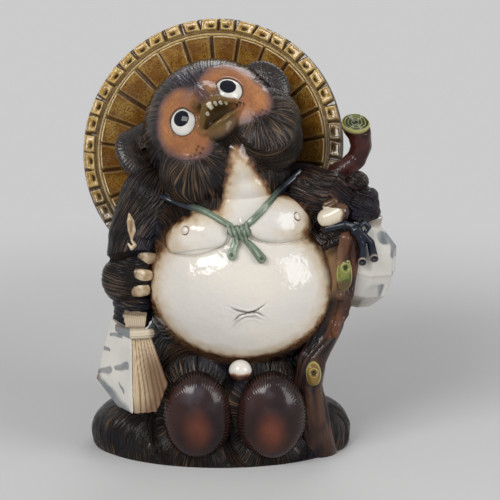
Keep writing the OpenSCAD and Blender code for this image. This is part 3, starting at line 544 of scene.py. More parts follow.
# Painted shade in the navel creases: dark in the two upper ones, faint in the lowest.
navel_crease_shade = np.zeros(len(p))
for route, deep, wide in ((NAVEL_TOP, 1.7, 0.75), (NAVEL_LOW, 1.3, 0.7), (NAVEL_FOLD, 0.5, 1.4)):
    gap, t = line_gap(p, route)
    taper = np.sin(np.pi * np.clip(t, 0.02, 0.98)) ** 0.7
    rise -= deep * taper * bell(gap, wide * (0.5 + 0.7 * taper))
    rise += 0.5 * taper * bell(gap - 2.0, 0.9)
    navel_crease_shade = np.maximum(navel_crease_shade, (1.0 if deep > 1 else 0.25) * soft(0.25, 0.8, taper) * bell(gap, wide * 0.85))
scratch = strands(*shell_strokes(p), 1.8, 16, 12) * (1 - soft(3, 15, depth)) * soft(225, 190, p[:, 2])
rise += 0.6 * (scratch - 0.5) * (1 - soft(3, 15, depth)) + 0.5 * (lumps(p / 22, 9) - 0.5)
lift(white, n, rise)
mark(white, "depth", depth)
mark(white, "navel_crease_shade", navel_crease_shade)
mark(white, "under_breast_shade", under_breast_shade)
mark(white, "scratch", scratch)
shade_smooth(white)

glaze = Glaze("white_glaze", 0.10)
mottle = glaze.group(glaze_mottle, Pools=30.0, Speckle=900.0)
colour = glaze.mix((0.74, 0.69, 0.61), (0.66, 0.63, 0.59), glaze.span(glaze.noise(14.0), 0.35, 0.65))
colour = glaze.mix(colour, (0.62, 0.51, 0.38), glaze.times(mottle["Speck"], 0.12))
ragged = glaze.math("ADD", glaze.marked("depth"), glaze.span(glaze.noise(160.0, 3), 0.3, 0.7, -2.0, 2.0))
glaze.nodes[-1].use_clamp = False
colour = glaze.mix(colour, (0.56, 0.42, 0.25), glaze.span(ragged, 20, 9, 0.0, 0.8))
colour = glaze.mix(colour, (0.26, 0.12, 0.042), glaze.span(ragged, 11, 5.5, 0.0, 0.95))
colour = glaze.mix(colour, (0.055, 0.022, 0.010), glaze.span(ragged, 7.5, 3.5))
colour = glaze.mix(colour, (0.010, 0.006, 0.005), glaze.span(ragged, 4.0, 1.0))
colour = glaze.mix(colour, (0.20, 0.10, 0.05),
                   glaze.times(glaze.marked("scratch"), glaze.span(ragged, 16, 5, 0.0, 0.8)))
# Painted shade under the breasts, grey-brown.
colour = glaze.mix(colour, (0.42, 0.34, 0.26), glaze.times(glaze.marked("under_breast_shade"), 0.8))
# Painted shade in the navel creases.
colour = glaze.mix(colour, (0.035, 0.02, 0.015), glaze.marked("navel_crease_shade"))
glaze.colour(colour)
glaze.relief(glaze.noise(105.0, 2), 1.1, 0.7)
white_glaze = glaze.material

belly_white = piece("belly_white", white)
white.materials.append(white_glaze)
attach(belly_white, "root")
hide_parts("belly_slab", "throat_slab", "breasts", "navel_creases")
white_tree = BVHTree.FromPolygons([v.co for v in white.vertices],
                                  [tuple(f.vertices) for f in white.polygons])


def on_white(x, z):
    """The place on the white front that is seen at x and z, and the way it faces."""
    start = Vector(place([x, -200, z]))
    spot, facing, _, _ = white_tree.ray_cast(start, Vector((0, 1, 0)))
    if spot is None:
        spot, facing, _, _ = shell_tree.ray_cast(start, Vector((0, 1, 0)))
    return spot, facing


# Nipples, two flat clay buttons pressed on the breasts, with glaze pooled brown in the ring
# round each.
NIPPLES = [(-47.2, 221.2), (53.5, 231.7)]
NIPPLE_D = 8.0

bm = bmesh.new()
for x, z in NIPPLES:
    spot, facing = on_white(x, z)
    lay = Matrix.Translation(spot - facing * 0.6 * MM) @ facing.to_track_quat("Z", "Y").to_matrix().to_4x4()
    made = bmesh.ops.create_uvsphere(bm, u_segments=40, v_segments=24, radius=0.5 * MM,
                                     matrix=lay @ Matrix.Diagonal((NIPPLE_D, NIPPLE_D * 1.1, 4.4, 1)))
mesh = mesh_of("nipple_buttons", bm)
shade_smooth(mesh)
p = read(mesh)
rim = np.zeros(len(p))
for x, z in NIPPLES:
    spot, facing = on_white(x, z)
    away = p - np.array(spot)
    flat = away - (away @ np.array(facing))[:, None] * np.array(facing)
    near = np.linalg.norm(away, axis=1) < 12 * MM
    rim = np.where(near, soft(0.36, 0.48, np.linalg.norm(flat, axis=1) / NIPPLE_D / MM), rim)
mark(mesh, "rim", rim)
glaze = Glaze("nipple_glaze", 0.1)
glaze.colour(glaze.mix((0.66, 0.58, 0.50), (0.16, 0.09, 0.05), glaze.marked("rim")))
mesh.materials.append(glaze.material)
nipple_buttons = piece("nipple_buttons", mesh)
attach(nipple_buttons, "root")
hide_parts("nipples")


# Head. A hollow clay ball with a jowl and two cheek pads, a snout and an open jaw luted on and
# smoothed in. Comb strokes point away from the smooth tan mask round the eyes.
CHEEK_BALLS = [((-37, -20, -25), (72, 72, 68)), ((37, -20, -25), (72, 72, 68)),
               ((29, -20, -39), (72, 66, 66)),
               ((24, -22, -44), (52, 50, 48)), ((37, -14, -43), (54, 54, 46))]
SNOUT_BALLS = [((0, -54, 19), (44, 28, 32)), ((0, -62, 18), (36, 26, 25)), ((1, -70, 17.5), (28, 22, 19)),
               ((1, -77, 16.5), (21, 17, 14)), ((0, -82, 15), (14, 12, 12))]
NOSE_PAD = [(2, -72, 28), (1, -79, 24), (0, -84, 19), (0, -86, 13.5)]
LIP_LEFT = [(0, -84, 9), (-7, -79, 3.5), (-13, -73, -1.6), (-18.5, -65.5, -6.5)]
LIP_RIGHT = [(0, -84, 9), (10, -81.5, 6.3), (15.7, -75.5, 1.5), (21.5, -69.5, -1.5), (27, -64, -5)]
JAW_LIP = [(-18, -64, -9), (-11, -69.5, -10.5), (-4.5, -75, -11), (2, -77, -11.5), (9.5, -75, -10.5),
           (16, -69, -10), (25, -62, -8)]
CHIN_BALLS = [((0, -64, -15), (30, 24, 18)), ((-2, -68, -17), (20, 17, 16)), ((2, -60, -12), (40, 18, 12))]
EYES = [(-24.5, -58, 11), (24.5, -58, 11)]
WHISKERS = [(-31, -60, -19), (36, -55, -24)]
MASK_OVALS = [((-25, 6), 27, 31), ((-20, 21), 22, 23), ((26, 9), 28, 33), ((37, -3), 20, 22)]
NOSTRILS = [(-5.5, -80.5, 20), (7, -79.5, 20.5)]


def set_head_limb(bm, points, sizes, step=1.6):
    for a, b, s, t in zip(points[:-1], points[1:], sizes[:-1], sizes[1:]):
        a, b = np.array(a, float), np.array(b, float)
        count = max(2, int(np.linalg.norm(b - a) / step))
        for i in range(count + 1):
            k = i / count
            set_head_ball(bm, a + (b - a) * k, [s + (t - s) * k] * 3, level=3)


def eye_gap(q, at):
    """How far a point of the face is from the middle line of an eye, which faces out from the skull."""
    out = np.array(at, float) / np.linalg.norm(at)
    far = q @ out
    return np.linalg.norm(q - far[:, None] * out, axis=1) + 100 * (far < 30)


def spot_gap(q, at, stretch=(1, 1, 1)):
    return np.linalg.norm((q - np.array(at)) / np.array(stretch), axis=1)


bm = bmesh.new()
for at, size in HEAD_BALLS + CHEEK_BALLS + SNOUT_BALLS + CHIN_BALLS:
    set_head_ball(bm, at, size)
set_head_limb(bm, NOSE_PAD, (5, 7.5, 8, 7))
set_head_limb(bm, LIP_LEFT, (7, 7, 6.5, 4.5))
set_head_limb(bm, LIP_RIGHT, (7, 7, 6.5, 5.5, 4.5))
set_head_limb(bm, JAW_LIP, (4, 5, 5.5, 5.5, 5.5, 5, 4))
head_mesh = melted("head_clay", bm, 1.05, 7)

q, n = head_drawn(read(head_mesh)), read(head_mesh, "normal")
r, u = q[:, 0], q[:, 2]
wave = 3.2 * (lumps(q / 11, 21) - 0.5)
mask_depth = np.full(len(q), -50.0)
for (mr, mu), wide, tall in MASK_OVALS:
    mask_depth = np.maximum(mask_depth, (1 - np.hypot((r - mr) / wide, (u - mu) / tall)) * wide)
mask_depth += wave
muzzle = 1 - spot_gap(q, (0, -72, 4), (24, 24, 27))
mask_depth = np.where(q[:, 1] < -15, np.maximum(mask_depth, muzzle * 20), -20)
tan = soft(-2.5, 2.5, mask_depth)
# A purple-grey band up the middle of the forehead: the glaze's purple tone with a painted highlight on its
# comb ridges.
brow = bell(r, 7 + 0.12 * np.clip(u - 20, 0, 60)) * soft(16, 30, u) * (q[:, 1] < 0)
nose = np.zeros(len(q))
for a, b in zip(NOSE_PAD[:-1], NOSE_PAD[1:]):
    for k in np.linspace(0, 1, 6):
        at = np.array(a) + (np.array(b) - np.array(a)) * k
        nose = np.maximum(nose, soft(8.4, 3.6, spot_gap(q, at + np.array([0, -1, 0.5]))))
# The mouth's opening is painted dark, as shade inside it.
mouth = soft(1.05, 0.6, spot_gap(q, (6, -70, -3), (22, 8, 9)))
olive = soft(1.25, 0.55, spot_gap(q, (1, -76, -2), (24, 22, 22)))
chin = soft(1.15, 0.8, spot_gap(q, (1, -72, -20), (20, 22, 13)))

polar = np.arctan2(r, u - 4)
across, along = polar * 64, np.hypot(r, u - 4)
for (x, _, z), (cx, _, cz) in zip(WHISKERS, ((-37, -20, -31), (37, -20, -31))):
    near = 1 - soft(26, 44, np.hypot(r - cx, (u - cz) * 1.05))
    near *= 1 - soft(5, 30, q[:, 1])
    turn = np.arctan2(r - x, z + 6 - u) * 36
    across, along = across * (1 - near) + turn * near, along * (1 - near) + np.hypot(r - x, u - z) * near
across = across + 5 * lumps(q / 24, 22) + 1.5 * lumps(q / 9, 23)
furry = 1 - soft(-1.5, 3.5, mask_depth)
comb = np.cos(across / 2.7 * 2 * np.pi)
tufts = strands(across, along, 3.6, 26, 24)
height = furry * (0.16 * comb + 0.85 * (tufts - 0.5) - 0.2) + (1 - furry) * 0.35 * (lumps(q / 9, 25) - 0.5)
for at in EYES:
    gap = eye_gap(q, at)
    height += 0.8 * bell(gap - 13.3, 1.2) - 1.5 * soft(12.6, 11.3, gap)
for at in NOSTRILS:
    gap = spot_gap(q, at)
    height += 0.95 * bell(gap - 3.5, 0.9) - 1.2 * bell(gap - 1.9, 0.7)
pits = np.zeros(len(q))
for x, y, z in WHISKERS:
    for i, (dx, dz) in enumerate(((-6, 2), (-2.5, 0), (1, 3), (2, -1.5), (6, 0.5), (4, 4))):
        pits = np.maximum(pits, bell(np.hypot(r - x - dx, u - z - dz), 1.0) * (q[:, 1] < -30))
height -= 1.3 * pits
corner = bell(spot_gap(q, (25.5, -66.5, -6)), 2.6)
curl = bell(spot_gap(q, (27.5, -65, -5)) - 5.2, 0.8) * soft(24, 29, r) * soft(-13, -8, u)
height += -2.4 * corner - 0.9 * curl
lift(head_mesh, n, height)
lid = np.zeros(len(q))
for at in EYES:
    gap = eye_gap(q, at)
    lid = np.maximum(lid, soft(13.8, 12.6, gap))
mark(head_mesh, "stroke", np.stack([across, along, 0 * along], 1) * MM)
mark(head_mesh, "ridge", tufts)
mark(head_mesh, "halo", 0 * tufts)
mark(head_mesh, "tan", tan)
mark(head_mesh, "tan_depth", mask_depth)
mark(head_mesh, "olive", np.maximum(olive, 0.75 * chin))
# The nose's own purple, with half of the forehead band (glaze tone and painted highlight).
mark(head_mesh, "purple", np.maximum(0.75 * nose, 0.5 * brow))
mark(head_mesh, "brow", brow * (1 - tan))
# The dark mark: the eye outlines, whisker pits and the curl at the mouth's corner are dark glaze; inside
# the mouth and in the pit at its corner it is painted shade.
mark(head_mesh, "dark", np.clip(np.maximum(np.maximum(mouth * 0.5, lid * 0.85),
                                           np.maximum(pits, np.maximum(corner, 0.7 * curl))), 0, 1))
shade_smooth(head_mesh)

glaze = Glaze("head_glaze", 0.15)
glaze.shader.inputs["Specular IOR Level"].default_value = 0.24
ridges = glaze.group(comb_lines, Stroke=glaze.marked("stroke", True), Lines=520.0, Length=40.0)["Ridge"]
mottle = glaze.group(glaze_mottle, Pools=30.0, Speckle=420.0)
worn = glaze.times(glaze.times(glaze.span(ridges, 0.35, 0.95),
                               glaze.span(glaze.marked("ridge"), 0.05, 0.8, 0.4, 1.0)),
                               glaze.span(mottle["Pool"], 0.2, 0.8, 0.2, 1.0))
colour = glaze.mix(FUR_BLACK, (0.155, 0.095, 0.055), worn)
# A bluish painted sheen in random patches over the fur.
colour = glaze.mix(colour, (0.011, 0.012, 0.024), glaze.times(glaze.span(glaze.noise(22.0), 0.5, 0.7), 0.5))
# Purple-grey on the forehead ridges: glaze tone and painted highlight.
colour = glaze.mix(colour, (0.075, 0.060, 0.085),
                   glaze.times(glaze.marked("brow"), glaze.span(ridges, 0.1, 0.8, 0.1, 0.75)))
skin = glaze.mix((0.47, 0.205, 0.080), (0.33, 0.135, 0.055), glaze.span(mottle["Pool"], 0.2, 0.9))
skin = glaze.mix(skin, (0.22, 0.085, 0.045), glaze.times(mottle["Speck"], 0.5))
skin = glaze.mix(skin, (0.10, 0.060, 0.070), glaze.span(glaze.marked("tan_depth"), 7.5, 0.5, 0.0, 0.92))
skin = glaze.mix(skin, (0.105, 0.066, 0.018), glaze.times(glaze.marked("olive"), 0.92))
skin = glaze.mix(skin, (0.075, 0.042, 0.045), glaze.marked("purple"))
colour = glaze.mix(colour, skin, glaze.marked("tan"))
# Dark glaze in the marks, and painted shade inside the mouth and its corner.
colour = glaze.mix(colour, (0.022, 0.013, 0.007), glaze.marked("dark"))
glaze.colour(colour)
grain = glaze.times(ridges, glaze.span(glaze.marked("tan"), 0.3, 0.7, 0.9, 0.0))
glaze.relief(glaze.math("ADD", grain, glaze.times(mottle["Speck"], 0.06)), 0.8)
head_clay = piece("head_clay", head_mesh)
head_mesh.materials.append(glaze.material)
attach(head_clay, "root")
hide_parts("head", "cheek_left", "cheek_right", "snout", "lower_jaw", "nose", "tongue")


# Eyes. Two flattened white clay balls sunk into the face and glazed clear, each with a black
# button of a pupil that looks up.
EYE_R, EYE_DEEP, EYE_SUNK = 12.9, 7.4, 63.0
PUPIL_R = 7.2
PUPIL_SHIFT = [(0.0, 3.2), (-1.9, 1.6)]
IMAGE_RIGHT, IMAGE_UP = (0.81, 0.0, -0.58), (0.58, -0.14, 0.80)


def eye_button(bm, at, look, reach, grown):
    """The cap of an eye ball within reach of where it looks, all in its own plane, in mm."""
    out = Vector(at).normalized()
    spot = out.to_track_quat("Z", "Y").to_matrix().to_4x4()
    middle = Matrix.Translation(Vector(head_at([out * EYE_SUNK])[0])) @ HEAD_TURN @ spot
    sideways = sum((Vector(axis) * step for axis, step in zip((IMAGE_RIGHT, IMAGE_UP), look)), Vector())
    aim = spot.to_3x3().inverted() @ sideways / EYE_R
    aim.z = math.sqrt(1 - aim.x ** 2 - aim.y ** 2)
    ball = bmesh.ops.create_uvsphere(bm, u_segments=84, v_segments=80, radius=1)
    limit = math.sqrt(1 - (reach / EYE_R) ** 2) if reach < EYE_R else -0.3
    bmesh.ops.delete(bm, geom=[v for v in ball["verts"] if v.co.z < limit - 1e-6], context="VERTS")
    kept = [v for v in ball["verts"] if v.is_valid]
    bmesh.ops.transform(bm, matrix=aim.to_track_quat("Z", "Y").to_matrix().to_4x4(), verts=kept)
    size = Matrix.Diagonal((EYE_R + grown, EYE_R + grown, EYE_DEEP + grown, 1 / MM)) * MM
    bmesh.ops.transform(bm, matrix=middle @ size, verts=kept)
    if grown:
        rim = list({e for v in kept for e in v.link_edges if e.is_boundary})
        wall = bmesh.ops.extrude_edge_only(bm, edges=rim)["geom"]
        for v in wall:
            if isinstance(v, bmesh.types.BMVert):
                v.co = v.co - (middle.to_3x3() @ Vector((0, 0, 1))) * 1.2 * MM


glaze = Glaze("eye_white_glaze", 0.06)
glaze.colour(glaze.mix((0.78, 0.76, 0.71), (0.68, 0.65, 0.60), glaze.noise(60.0)))
eye_white = glaze.material
glaze = Glaze("pupil_glaze", 0.05)
glaze.shader.inputs["Specular IOR Level"].default_value = 0.22
glaze.colour(glaze.mix((0.003, 0.003, 0.005), (0.008, 0.012, 0.022), glaze.noise(90.0)))
for name, node, slot, looks, reach, grown, material in (
        ("eyeballs", "eyes", "eye_white", [(0, 0), (0, 0)], EYE_R, 0.0, eye_white),
        ("pupil_buttons", "pupils", "eye_black", PUPIL_SHIFT, PUPIL_R, 0.4, glaze.material)):
    bm = bmesh.new()
    for at, look in zip(EYES, looks):
        eye_button(bm, at, look, reach, grown)
    bmesh.ops.recalc_face_normals(bm, faces=bm.faces[:])
    mesh = mesh_of(name, bm)
    shade_smooth(mesh)
    mesh.materials.append(material)
    found = piece(name, mesh)
    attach(found, "root")
    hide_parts(node)


# Upper teeth. Five small pegs of white clay with softened edges, pushed up under the lip one by
# one and glazed clear.
TEETH = [((-5.5, -80, 2.5), 4.0, 4.6), ((0, -84.5, 6.5), 5.8, 6.6), ((5.2, -83.2, 5.4), 4.0, 5.0),
         ((9.6, -81.2, 3.6), 3.8, 4.6), ((13.6, -77.6, 1.2), 3.4, 4.2)]
bm = bmesh.new()
for at, wide, tall in TEETH:
    made = bmesh.ops.create_cone(bm, cap_ends=True, segments=20, radius1=wide * 0.30 * MM,
                                 radius2=wide * 0.52 * MM, depth=tall * MM)
    edges = {e for v in made["verts"] for e in v.link_edges}
    done = bmesh.ops.bevel(bm, geom=list(edges), offset=0.55 * MM, offset_type="OFFSET", segments=3,
                           profile=0.5, affect="EDGES", material=-1)
    spot = Matrix.Translation(Vector(head_at([(at[0], at[1], at[2] - tall / 2 + 0.6)])[0])) @ HEAD_TURN
    loose = {v for f in done["faces"] for v in f.verts} | {v for v in made["verts"] if v.is_valid}
    todo = set(loose)
    for v in loose:
        for e in v.link_edges:
            todo.update(e.verts)
    bmesh.ops.transform(bm, matrix=spot, verts=list(todo))
mesh = mesh_of("tooth_row", bm)
shade_smooth(mesh)
glaze = Glaze("tooth_glaze", 0.1)
glaze.colour(glaze.mix((0.72, 0.66, 0.54), (0.50, 0.38, 0.2), glaze.span(glaze.noise(300.0), 0.45, 0.7)))
mesh.materials.append(glaze.material)
tooth_row = piece("tooth_row", mesh)
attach(tooth_row, "root")
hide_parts("upper_teeth")


# Ears. Two small pinched cups of clay, pleated round the inside and set on the head.
EARS = [((-72, 0, 24), (0, 14, 34)), ((62, -10, 6), (0, -10, -8))]
EAR_SIZE = (41, 18, 51)
PLEATS = 17


def turned(degrees):
    """A turn about x, then y, then z, as the drawing gives it."""
    x, y, z = (math.radians(v) for v in degrees)
    return (Matrix.Rotation(z, 4, "Z") @ Matrix.Rotation(y, 4, "Y") @ Matrix.Rotation(x, 4, "X")).to_3x3()


bm = bmesh.new()
for at, turn in EARS:
    bmesh.ops.create_uvsphere(bm, u_segments=150, v_segments=100, radius=1)
mesh = mesh_of("ear_cups", bm)
ball = read(mesh)
count = len(ball) // 2
cups, hollow = [], []
for (at, turn), part in zip(EARS, (ball[:count], ball[count:])):
    x, y, z = part[:, 0], part[:, 2], part[:, 1]
    angle, reach = np.arctan2(x, z + 0.12), np.hypot(x, z + 0.12)
    front = soft(0.15, -0.1, y)
    pleat = np.cos(angle * PLEATS + 1.6 * lumps(part * 2, 31))
    scoop = front * soft(0.93, 0.45, reach)
    wall = front * bell(reach - 0.72, 0.2)
    depth = -0.5 * EAR_SIZE[1] * y + 9.5 * scoop - 2.6 * wall * pleat
    size = 1 + 0.025 * front * pleat + 0.02 * np.cos(angle * 40) * (1 - front)
    local = np.stack([x * size * EAR_SIZE[0] / 2, depth, z * size * EAR_SIZE[2] / 2], 1)
    cups.append(head_at(local @ np.array(turned(turn)).T + np.array(at)))
    hollow.append(np.clip(scoop * 0.6 + wall * (0.5 - 0.5 * pleat), 0, 1))
write(mesh, np.concatenate(cups))
bm = bmesh.new()
bm.from_mesh(mesh)
bmesh.ops.recalc_face_normals(bm, faces=bm.faces[:])
bm.to_mesh(mesh)
bm.free()
mark(mesh, "hollow", np.concatenate(hollow))
shade_smooth(mesh)
glaze = Glaze("ear_glaze", 0.2)
colour = glaze.mix((0.010, 0.007, 0.007), (0.055, 0.030, 0.020),
                   glaze.span(glaze.noise(260.0, 3), 0.45, 0.75))
colour = glaze.mix(colour, (0.010, 0.007, 0.009), glaze.marked("hollow"))
glaze.colour(colour)
glaze.relief(glaze.noise(700.0, 2), 0.5)
mesh.materials.append(glaze.material)
ear_cups = piece("ear_cups", mesh)
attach(ear_cups, "root")
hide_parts("ear_left", "ear_right")


# Hat, inside. Flat panels like strips of straw, pressed into the cone of the hat that stands
# behind the head, with amber glaze that runs dark into the gaps.
HAT_AT = (-26, 40, 280.4)
HAT_TURN = np.array(Matrix.Rotation(math.radians(-10), 3, "Z") @ Matrix.Rotation(math.radians(70), 3, "X"))
RIM_IN, HAT_DEPTH = 110, 54
PANELS, PANEL_GAP = 25, 3.0
PADS = 42


def spun(name, profile, sectors, steps):
    """A ring of clay turned from a profile of radius and height, in the hat's own drawing."""
    bm = bmesh.new()
    line = [bm.verts.new((r, 0, z)) for r, z in profile]
    edges = [bm.edges.new(pair) for pair in zip(line[:-1], line[1:])]
    share = 2 * math.pi / sectors
    bmesh.ops.spin(bm, geom=line + edges, axis=(0, 0, 1), cent=(0, 0, 0), steps=steps, angle=share)
    bmesh.ops.spin(bm, geom=bm.verts[:] + bm.edges[:] + bm.faces[:], axis=(0, 0, 1), cent=(0, 0, 0),
                   steps=sectors - 1, angle=2 * math.pi - share, use_duplicate=True)
    bmesh.ops.remove_doubles(bm, verts=bm.verts[:], dist=0.002)
    bmesh.ops.recalc_face_normals(bm, faces=bm.faces[:])
    mesh = mesh_of(name, bm)
    shade_smooth(mesh)
    return mesh


def even(corners, step):
    """The corners of a profile with points laid between them at an even step."""
    rows = [corners[0]]
    for (a, b), (c, d) in zip(corners[:-1], corners[1:]):
        count = max(1, round(math.hypot(c - a, d - b) / step))
        rows += [(a + (c - a) * i / count, b + (d - b) * i / count) for i in range(1, count + 1)]
    return rows


def hat_place(points):
    return place(points @ HAT_TURN.T + np.array(HAT_AT))


def sector(q, count, seed, wander):
    """Which of the equal sectors a point is in, and how far it is from its middle, in mm."""
    turn = np.arctan2(q[:, 1], q[:, 0]) / (2 * math.pi) * count
    number = np.round(turn).astype(int) % count
    drift = np.random.default_rng(seed).uniform(-wander, wander, count)[number]
    return number, (turn - np.round(turn)) * 2 * math.pi * np.hypot(q[:, 0], q[:, 1]) / count + drift


mesh = spun("hat_inside", even([(RIM_IN, -0.5), (8, -HAT_DEPTH + 4)], 1.25), PANELS, 22)
q = read(mesh)
reach = np.hypot(q[:, 0], q[:, 1])
number, side = sector(q, PANELS, 5, 0.7)
edge = np.minimum(reach * math.tan(math.pi / PANELS) - PANEL_GAP / 2 - np.abs(side),
                  np.minimum(RIM_IN - 1.2 - reach, reach - 12))
body = soft(-0.7, 0.8, edge)
lip = bell(edge - 1.0, 0.7)
end = soft(RIM_IN - 6, RIM_IN - 2, reach)
tilt = np.random.default_rng(7).uniform(-0.035, 0.035, PANELS)[number] * side
gap_rib = bell(edge + PANEL_GAP / 2, 0.5) * (1 - body)
q[:, 2] += (3.1 * body + 0.45 * lip + 0.5 * end * lip + tilt * body + 0.5 * gap_rib
            + 0.7 * (lumps(q / 9, 41) - 0.5))
write(mesh, hat_place(q))
mark(mesh, "lip", np.clip(lip * (0.35 + 0.65 * end), 0, 1))
mark(mesh, "gap", (1 - body) * (1 - 0.5 * gap_rib))
mark(mesh, "panel", np.random.default_rng(9).uniform(0, 1, PANELS)[number])
mark(mesh, "shade", soft(0.45, 1.0, reach / RIM_IN))
glaze = Glaze("straw_glaze", 0.16)
mottle = glaze.group(glaze_mottle, Pools=55.0, Speckle=650.0)
colour = glaze.mix((0.26, 0.112, 0.014), (0.44, 0.245, 0.045), glaze.span(mottle["Pool"], 0.2, 0.8))
colour = glaze.mix(colour, (0.13, 0.045, 0.008), glaze.span(glaze.marked("panel"), 0.3, 1.0, 0.0, 0.45))
colour = glaze.mix(colour, (0.075, 0.026, 0.006), glaze.times(mottle["Speck"], 0.8))
colour = glaze.mix(colour, (0.09, 0.034, 0.010), glaze.span(glaze.marked("shade"), 0.0, 1.0, 0.75, 0.0))
colour = glaze.mix(colour, (0.58, 0.44, 0.20), glaze.times(glaze.marked("lip"), 0.85))
colour = glaze.mix(colour, (0.035, 0.014, 0.006), glaze.marked("gap"))
glaze.colour(colour)
glaze.relief(glaze.math("ADD", glaze.noise(130.0, 2), glaze.times(mottle["Speck"], 0.1)), 0.5)
mesh.materials.append(glaze.material)
hat_inside = piece("hat_inside", mesh)
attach(hat_inside, "root")
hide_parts("hat_panels")


# Hat, rim. A rolled ring with a bead on its inner edge and a row of pads, each outlined in cream
# with a pit poked in its inner side.
mesh = spun("hat_rim_ring", even([(108.6, -7), (108.6, -0.6), (110, -1), (125.4, 0.6), (126, -0.4),
                                  (126, -4.6), (122.8, -9), (109.5, -9)], 0.6), PADS, 20)
q = read(mesh)
reach = np.hypot(q[:, 0], q[:, 1])
front = soft(-2.2, -1.2, q[:, 2])
number, side = sector(q, PADS, 11, 1.0)
width = 7.9 + np.random.default_rng(12).uniform(-0.8, 0.8, PADS)[number]
slant = np.random.default_rng(13).uniform(-0.25, 0.25, PADS)[number]
side = side + slant * (reach - 119)
outer = 124.8 + 0.9 * (lumps(q / 7, 42) - 0.5)
edge = (np.minimum(width - np.abs(side), np.minimum(reach - 113.2, outer - reach))
        + 0.5 * (lumps(q / 2.5, 43) - 0.5))
pad = front * soft(-0.5, 1.3, edge)
lip = front * bell(edge - 1.4, 0.65)
pit_at = np.random.default_rng(14).uniform(-2.2, 2.2, PADS)[number]
pit = front * np.exp(-np.abs((side - pit_at) / 2.9) ** 3
                     - ((reach - 116.9 - 0.25 * np.abs(side - pit_at)) / 1.25) ** 2)
bead = front * (bell(reach - 110.3, 0.8) * 2.4 + bell(reach - 112.9, 0.55) * 1.3)
q[:, 2] += 5.7 * pad + 0.7 * lip - 3.6 * pit * pad + bead + 0.5 * (lumps(q / 6, 44) - 0.5)
frame_side = q @ HAT_TURN.T + np.array(HAT_AT)
# Painted shade on the rim where it passes behind the arm on the left, and by the branch and the other arm
# on the right.
arm_and_branch_shade = np.maximum(soft(250, 215, frame_side[:, 2]) * (frame_side[:, 0] < -60),
                   soft(60, 95, frame_side[:, 0]) * soft(330, 290, frame_side[:, 2]))
write(mesh, hat_place(q))
mark(mesh, "lip", np.clip(lip + front * bell(reach - 110.4, 0.6) + 0.7 * front * bell(reach - 112.9, 0.5),
                          0, 1))
mark(mesh, "gap", np.clip((1 - pad) * front * soft(110.8, 112.0, reach)
                          * (1 - 0.7 * bell(reach - 112.9, 0.5)), 0, 1))
mark(mesh, "pit", np.clip(pit * 1.3, 0, 1))
mark(mesh, "arm_and_branch_shade", arm_and_branch_shade)
glaze = Glaze("rim_glaze", 0.12)
mottle = glaze.group(glaze_mottle, Pools=120.0, Speckle=750.0)
colour = glaze.mix((0.42, 0.24, 0.045), (0.62, 0.42, 0.13), glaze.span(mottle["Pool"], 0.2, 0.8))
colour = glaze.mix(colour, (0.17, 0.075, 0.014), glaze.times(mottle["Speck"], 0.7))
colour = glaze.mix(colour, (0.60, 0.45, 0.20), glaze.times(glaze.marked("lip"), 0.75))
colour = glaze.mix(colour, (0.050, 0.022, 0.010), glaze.times(glaze.marked("gap"), 0.93))
colour = glaze.mix(colour, (0.022, 0.012, 0.010), glaze.marked("pit"))
# Painted shade where the arms and the branch stand in front of the rim.
colour = glaze.mix(colour, (0.075, 0.05, 0.04), glaze.times(glaze.marked("arm_and_branch_shade"), 0.7))
glaze.colour(colour)
glaze.relief(glaze.noise(200.0, 2), 0.4)
mesh.materials.append(glaze.material)
hat_rim_ring = piece("hat_rim_ring", mesh)
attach(hat_rim_ring, "root")
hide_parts("hat_rim", "rim_pads")


# Hat, back. The plain outer side of the pressed cone, scored with straw lines that run to the tip
# and with a few rings of stitching.
STRAW_LINES = 110
STITCH_RINGS = (24, 46, 68, 90)
mesh = spun("hat_back", even([(111, -8.2), (10, -HAT_DEPTH - 5), (4, -HAT_DEPTH - 6.6),
                              (0, -HAT_DEPTH - 7)], 1.6), STRAW_LINES, 6)
q = read(mesh)
reach = np.hypot(q[:, 0], q[:, 1])
straw = np.cos(np.arctan2(q[:, 1], q[:, 0]) * STRAW_LINES + 1.4 * lumps(q / 20, 45)) * soft(6, 30, reach)
ring = sum(bell(reach - at - 1.5 * (lumps(q / 14, 46) - 0.5), 1.0) for at in STITCH_RINGS)
q[:, 2] += -0.25 * straw * (1 - ring) + 0.7 * ring + 0.45 * (lumps(q / 16, 47) - 0.5)
write(mesh, hat_place(q))
mark(mesh, "lip", 0.5 + 0.5 * straw)
mark(mesh, "gap", ring)
glaze = Glaze("hat_back_glaze", 0.2)
mottle = glaze.group(glaze_mottle, Pools=40.0, Speckle=600.0)
colour = glaze.mix((0.15, 0.06, 0.012), (0.34, 0.165, 0.035), glaze.span(mottle["Pool"], 0.2, 0.8))
colour = glaze.mix((0.085, 0.034, 0.010), colour, glaze.span(glaze.marked("lip"), 0.0, 0.6, 0.35, 1.0))
colour = glaze.mix(colour, (0.04, 0.018, 0.008), glaze.times(mottle["Speck"], 0.7))
colour = glaze.mix(colour, (0.045, 0.018, 0.008), glaze.times(glaze.marked("gap"), 0.85))
glaze.colour(colour)
glaze.relief(glaze.noise(130.0, 2), 0.4)
mesh.materials.append(glaze.material)
hat_back = piece("hat_back", mesh)
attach(hat_back, "root")
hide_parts("hat_cone")


# Neck cord. Two rolls of clay laid over the chest to a wrapped knot, with two short ends that
# flare. Its glaze is dark at the shoulders and sage green by the knot.
CORD_LEFT = [(-88, 256), (-74, 247), (-54, 240), (-32, 238), (-12, 229), (0, 221)]
CORD_RIGHT = [(56, 266), (42, 255), (28, 245), (15, 233), (2, 222)]
CORD_D = 6.8
KNOT_AT = (1, 221)


